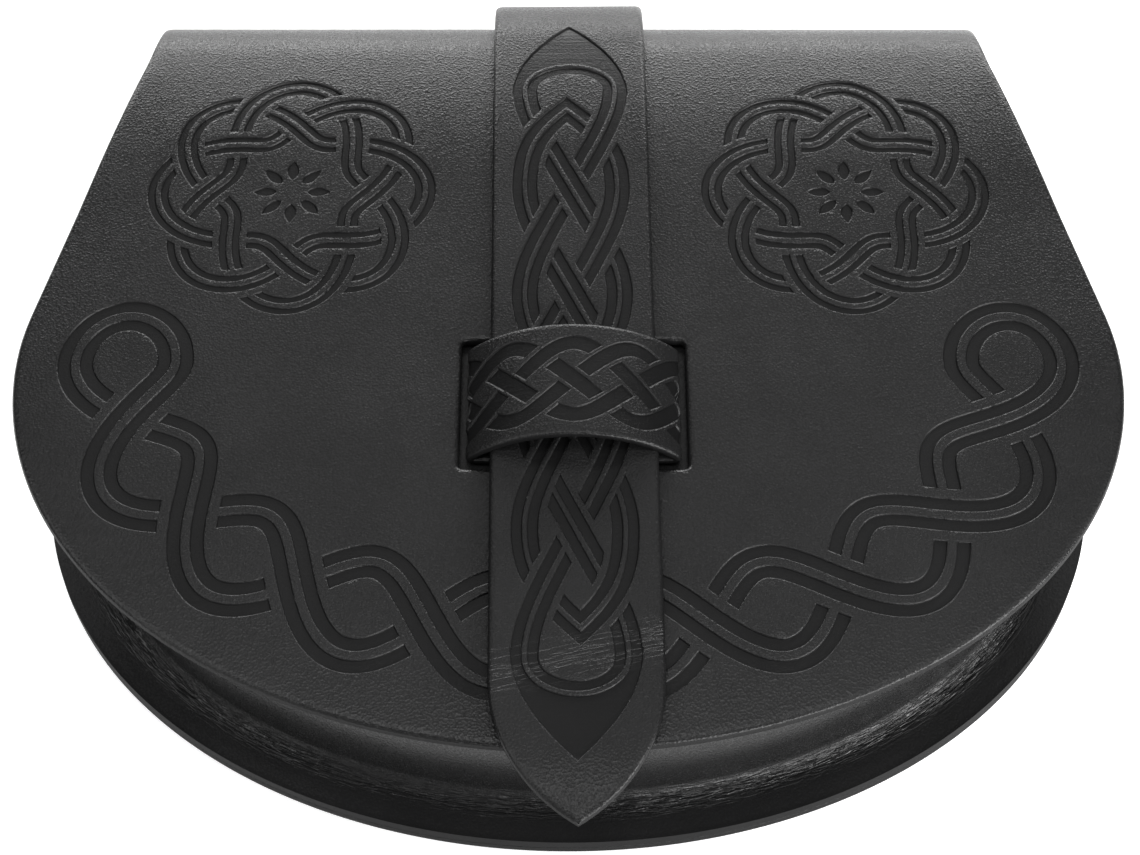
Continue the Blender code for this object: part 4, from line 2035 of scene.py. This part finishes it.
    def _creases(self, g: Graph, where: Wire) -> Wire:
        """A narrow band of slanted creases, where the leather has been bent to and fro.

        Args:
            g: the node tree.
            where: the place on the object.

        Returns:
            Their height, up to 1.
        """
        turned = g.wire(g.add("Mapping", {"vector_type": "TEXTURE"}, {
            "Vector": where, "Location": (*self.crease_place, 0), "Rotation": (0, 0, self.crease_slant),
        }))
        core, fringe = 0.0015, 0.0055
        band = 1 - abs(g.axis(turned, "Y")).between(core, fringe)
        stretched = g.wire(g.add("Mapping", values={"Vector": turned, "Scale": (75, 900, 75)}))
        return abs(self._lines(g, stretched)).between(0.0, 0.05) * band

    def _gathers(self, g: Graph) -> Wire:
        """Fine wrinkles along the foot of a moulded wall, where the piece's own attributes say.

        Args:
            g: the node tree.

        Returns:
            Their height, up to 1.
        """
        along, across, gather = (g.attribute(name) for name in ("along", "across", "gather"))
        place = g.wire(g.add("CombineXYZ", values={0: along * 140 + across * 120, 1: across * 1300}))
        return abs(self._lines(g, place)).between(0.0, 0.10) * gather


@dataclass(frozen=True)
class ThreadFinish:
    """Black waxed thread with a faint twist."""

    name: str = "waxed_thread"
    twist_scale: float = 2500.0
    twist_depth: float = 0.00005
    dark: float = 0.012
    light: float = 0.06
    roughness: float = 0.6

    def make(self) -> bpy.types.Material:
        """Builds the material.

        Returns:
            The material.
        """
        g = Graph(self.name)
        values = {"Vector": g.where(), "Scale": self.twist_scale, "Detail": 2.0}
        twist = g.wire(g.add("TexNoise", values=values))
        colour = g.shade(twist, (self.dark,) * 3 + (1,), (self.light,) * 3 + (1,))
        bump = g.add("Bump", values={"Strength": 0.6, "Distance": self.twist_depth, "Height": twist})
        looks = {"Base Color": colour, "Roughness": self.roughness, "Normal": g.wire(bump)}
        return g.finish(g.add("BsdfPrincipled", values=looks))


@dataclass(frozen=True)
class PaperFinish:
    """The plain white sweep under the pouch, whose own material glows as painted light, stronger on the right
    and fading out away from the middle, lighting the pouch from below.
    """

    name: str = "white_sweep"
    glow: float = 0.8
    glow_reach: tuple[float, float] = (0.2, 0.4)
    glow_left: float = 0.65
    glow_gain: float = 0.35
    gain_reach: tuple[float, float] = (-0.01, 0.07)
    dark: float = 0.90
    light: float = 0.92
    mottle_scale: float = 30.0
    roughness: float = 0.9

    def make(self) -> bpy.types.Material:
        """Builds the material.

        Returns:
            The material.
        """
        g = Graph(self.name)
        where = g.where()
        mottle = g.wire(g.add("TexNoise", values={"Vector": where, "Scale": self.mottle_scale}))
        colour = g.shade(mottle, (self.dark,) * 3 + (1,), (self.light,) * 3 + (1,))
        away = g.wire(g.add("VectorMath", {"operation": "LENGTH"}, {0: where}), "Value")
        # Painted glow: the sweep's emission, stronger on the right and fading away from the middle, lights
        # the pouch as a lamp below it would.
        side = g.axis(where, "X").between(*self.gain_reach)
        level = (self.glow_left + self.glow_gain * side) * (1 - away.between(*self.glow_reach))
        light = g.shade(level, (0, 0, 0, 1), (1, 1, 1, 1))
        surface = g.add("BsdfPrincipled", values={
            "Base Color": colour, "Roughness": self.roughness,
            "Emission Color": light, "Emission Strength": self.glow,
        })
        return g.finish(surface)


@dataclass(frozen=True)
class Softbox:
    """A soft rectangular light: its middle, its width and height, and its power in watts."""

    name: str
    place: tuple[float, float, float]
    size: tuple[float, float]
    power: float


SOFTBOXES = (
    Softbox("overhead_panel", (0.0, -0.15, 1.1), (0.9, 0.4), 3.9),
    Softbox("back_high_panel", (0.0, 0.62, 1.0), (1.2, 0.5), 1.4),
    Softbox("back_low_panel", (0.0, 0.85, 0.28), (1.2, 0.3), 9.3),
    Softbox("left_softbox", (-0.8, -0.1, 0.8), (0.8, 0.6), 3.0),
    Softbox("right_softbox", (0.8, -0.1, 0.8), (0.8, 0.6), 1.9),
    Softbox("front_key", (-0.05, -0.90, 0.52), (0.5, 0.10), 0.8),
    Softbox("left_front_softbox", (-0.7, -0.6, 0.3), (0.6, 0.4), 0.8),
    Softbox("right_front_softbox", (0.85, -0.40, 0.36), (0.5, 0.3), 2.0),
    Softbox("right_front_strip", (0.62, -0.65, 0.35), (1.1, 0.32), 11.0),
)


@dataclass
class Studio:
    """The floor, the lights and the camera, whose view is fitted to a picture of a set width in pixels."""

    target: tuple[float, float, float] = (0.0, -0.01864, 0.0539)
    distance: float = 0.42316
    elevation_deg: float = 58
    focal_px: float = 2358.4
    shift_px: float = 1.5
    image_width: int = 1140
    sensor: float = 36
    aim: tuple[float, float, float] = (0.0, 0.0, 0.04)
    surround: float = 0.02
    floor_reach: float = 0.9

    def build(self) -> bpy.types.Object:
        """Sets up the studio and returns the floor.

        Returns:
            The floor.
        """
        scene = bpy.context.scene
        world = bpy.data.worlds.new("studio")
        scene.world = world
        scene.view_settings.view_transform = "Standard"
        world.use_nodes = True
        background = world.node_tree.nodes["Background"]
        background.inputs["Color"].default_value = (1, 1, 1, 1)
        background.inputs["Strength"].default_value = self.surround
        for softbox in SOFTBOXES:
            self._light(softbox)
        self._camera(scene)
        bm = bmesh.new()
        bmesh.ops.create_grid(bm, x_segments=2, y_segments=2, size=self.floor_reach)
        floor = finish_mesh("floor", bm)
        floor.data.materials.append(PaperFinish().make())
        return floor

    def _light(self, softbox: Softbox) -> None:
        """Adds one softbox aimed at the pouch.

        Args:
            softbox: the light to add.
        """
        lamp = bpy.data.lights.new(softbox.name, "AREA")
        lamp.shape = "RECTANGLE"
        lamp.size, lamp.size_y = softbox.size
        lamp.energy = softbox.power
        item = bpy.data.objects.new(softbox.name, lamp)
        item.location = softbox.place
        item.rotation_euler = (Vector(self.aim) - Vector(softbox.place)).to_track_quat("-Z", "Y").to_euler()
        bpy.context.scene.collection.objects.link(item)

    def _camera(self, scene: bpy.types.Scene) -> None:
        """Adds the camera at the photograph's angle.

        Args:
            scene: the scene that it looks at.
        """
        lens = bpy.data.cameras.new("camera")
        lens.sensor_width = self.sensor
        lens.lens = self.sensor * self.focal_px / self.image_width
        lens.shift_x = self.shift_px / self.image_width
        camera = bpy.data.objects.new("camera", lens)
        rise = math.radians(self.elevation_deg)
        camera.location = (
            self.target[0],
            self.target[1] - self.distance * math.cos(rise),
            self.target[2] + self.distance * math.sin(rise),
        )
        camera.rotation_euler = (math.pi / 2 - rise, 0, 0)
        scene.collection.objects.link(camera)
        scene.camera = camera


def dress(piece: bpy.types.Object, material: bpy.types.Material, slot: Slot, node: str | None = None) -> None:
    """Gives a piece its finish and its place in the model.

    Args:
        piece: the new piece.
        material: its finish.
        slot: not used.
        node: the CAD node that it stands for, if it stands for one.
    """
    piece.data.materials.append(material)
    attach(piece, "root")
    if node:
        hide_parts(node)
    triangles = sum(len(face.vertices) - 2 for face in piece.data.polygons)
    log.info("%s: %d triangles", piece.name, triangles)


def main() -> None:
    """Builds the studio and each piece of the pouch in turn."""
    logging.basicConfig(level=logging.INFO, format="%(message)s")
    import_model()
    studio = Studio()
    studio.build()

    shell_leather = LeatherFinish("flap_leather").make()
    front_leather = LeatherFinish(
        "front_leather", roughness=0.36, specular=0.34, grain_depth=0.05, gather_depth=0.18, seed=0.3
    ).make()
    strap_leather = LeatherFinish(
        "strap_leather_black", roughness=0.39, specular=0.28, streak_depth=0.05, crease_depth=0.06, seed=0.7
    ).make()
    thread = ThreadFinish().make()

    strap = Strap()
    dress(Shell().build(), shell_leather, Slot.SHELL, "back_flap")
    dress(Front().build(), front_leather, Slot.BODY, "front_body")
    dress(strap.build(), strap_leather, Slot.STRAP, "strap")
    dress(Keeper().build(), strap_leather, Slot.STRAP, "keeper")
    for name, side in (("belt_loop_left", 1), ("belt_loop_right", -1)):
        loop = BeltLoop(name, side)
        dress(loop.build(), shell_leather, Slot.SHELL, name)
        for stitches in loop.stitches():
            dress(stitches.build(), thread, Slot.SHELL)
    dress(strap.stitches().build(), thread, Slot.STRAP)


if __name__ == "__main__":
    main()
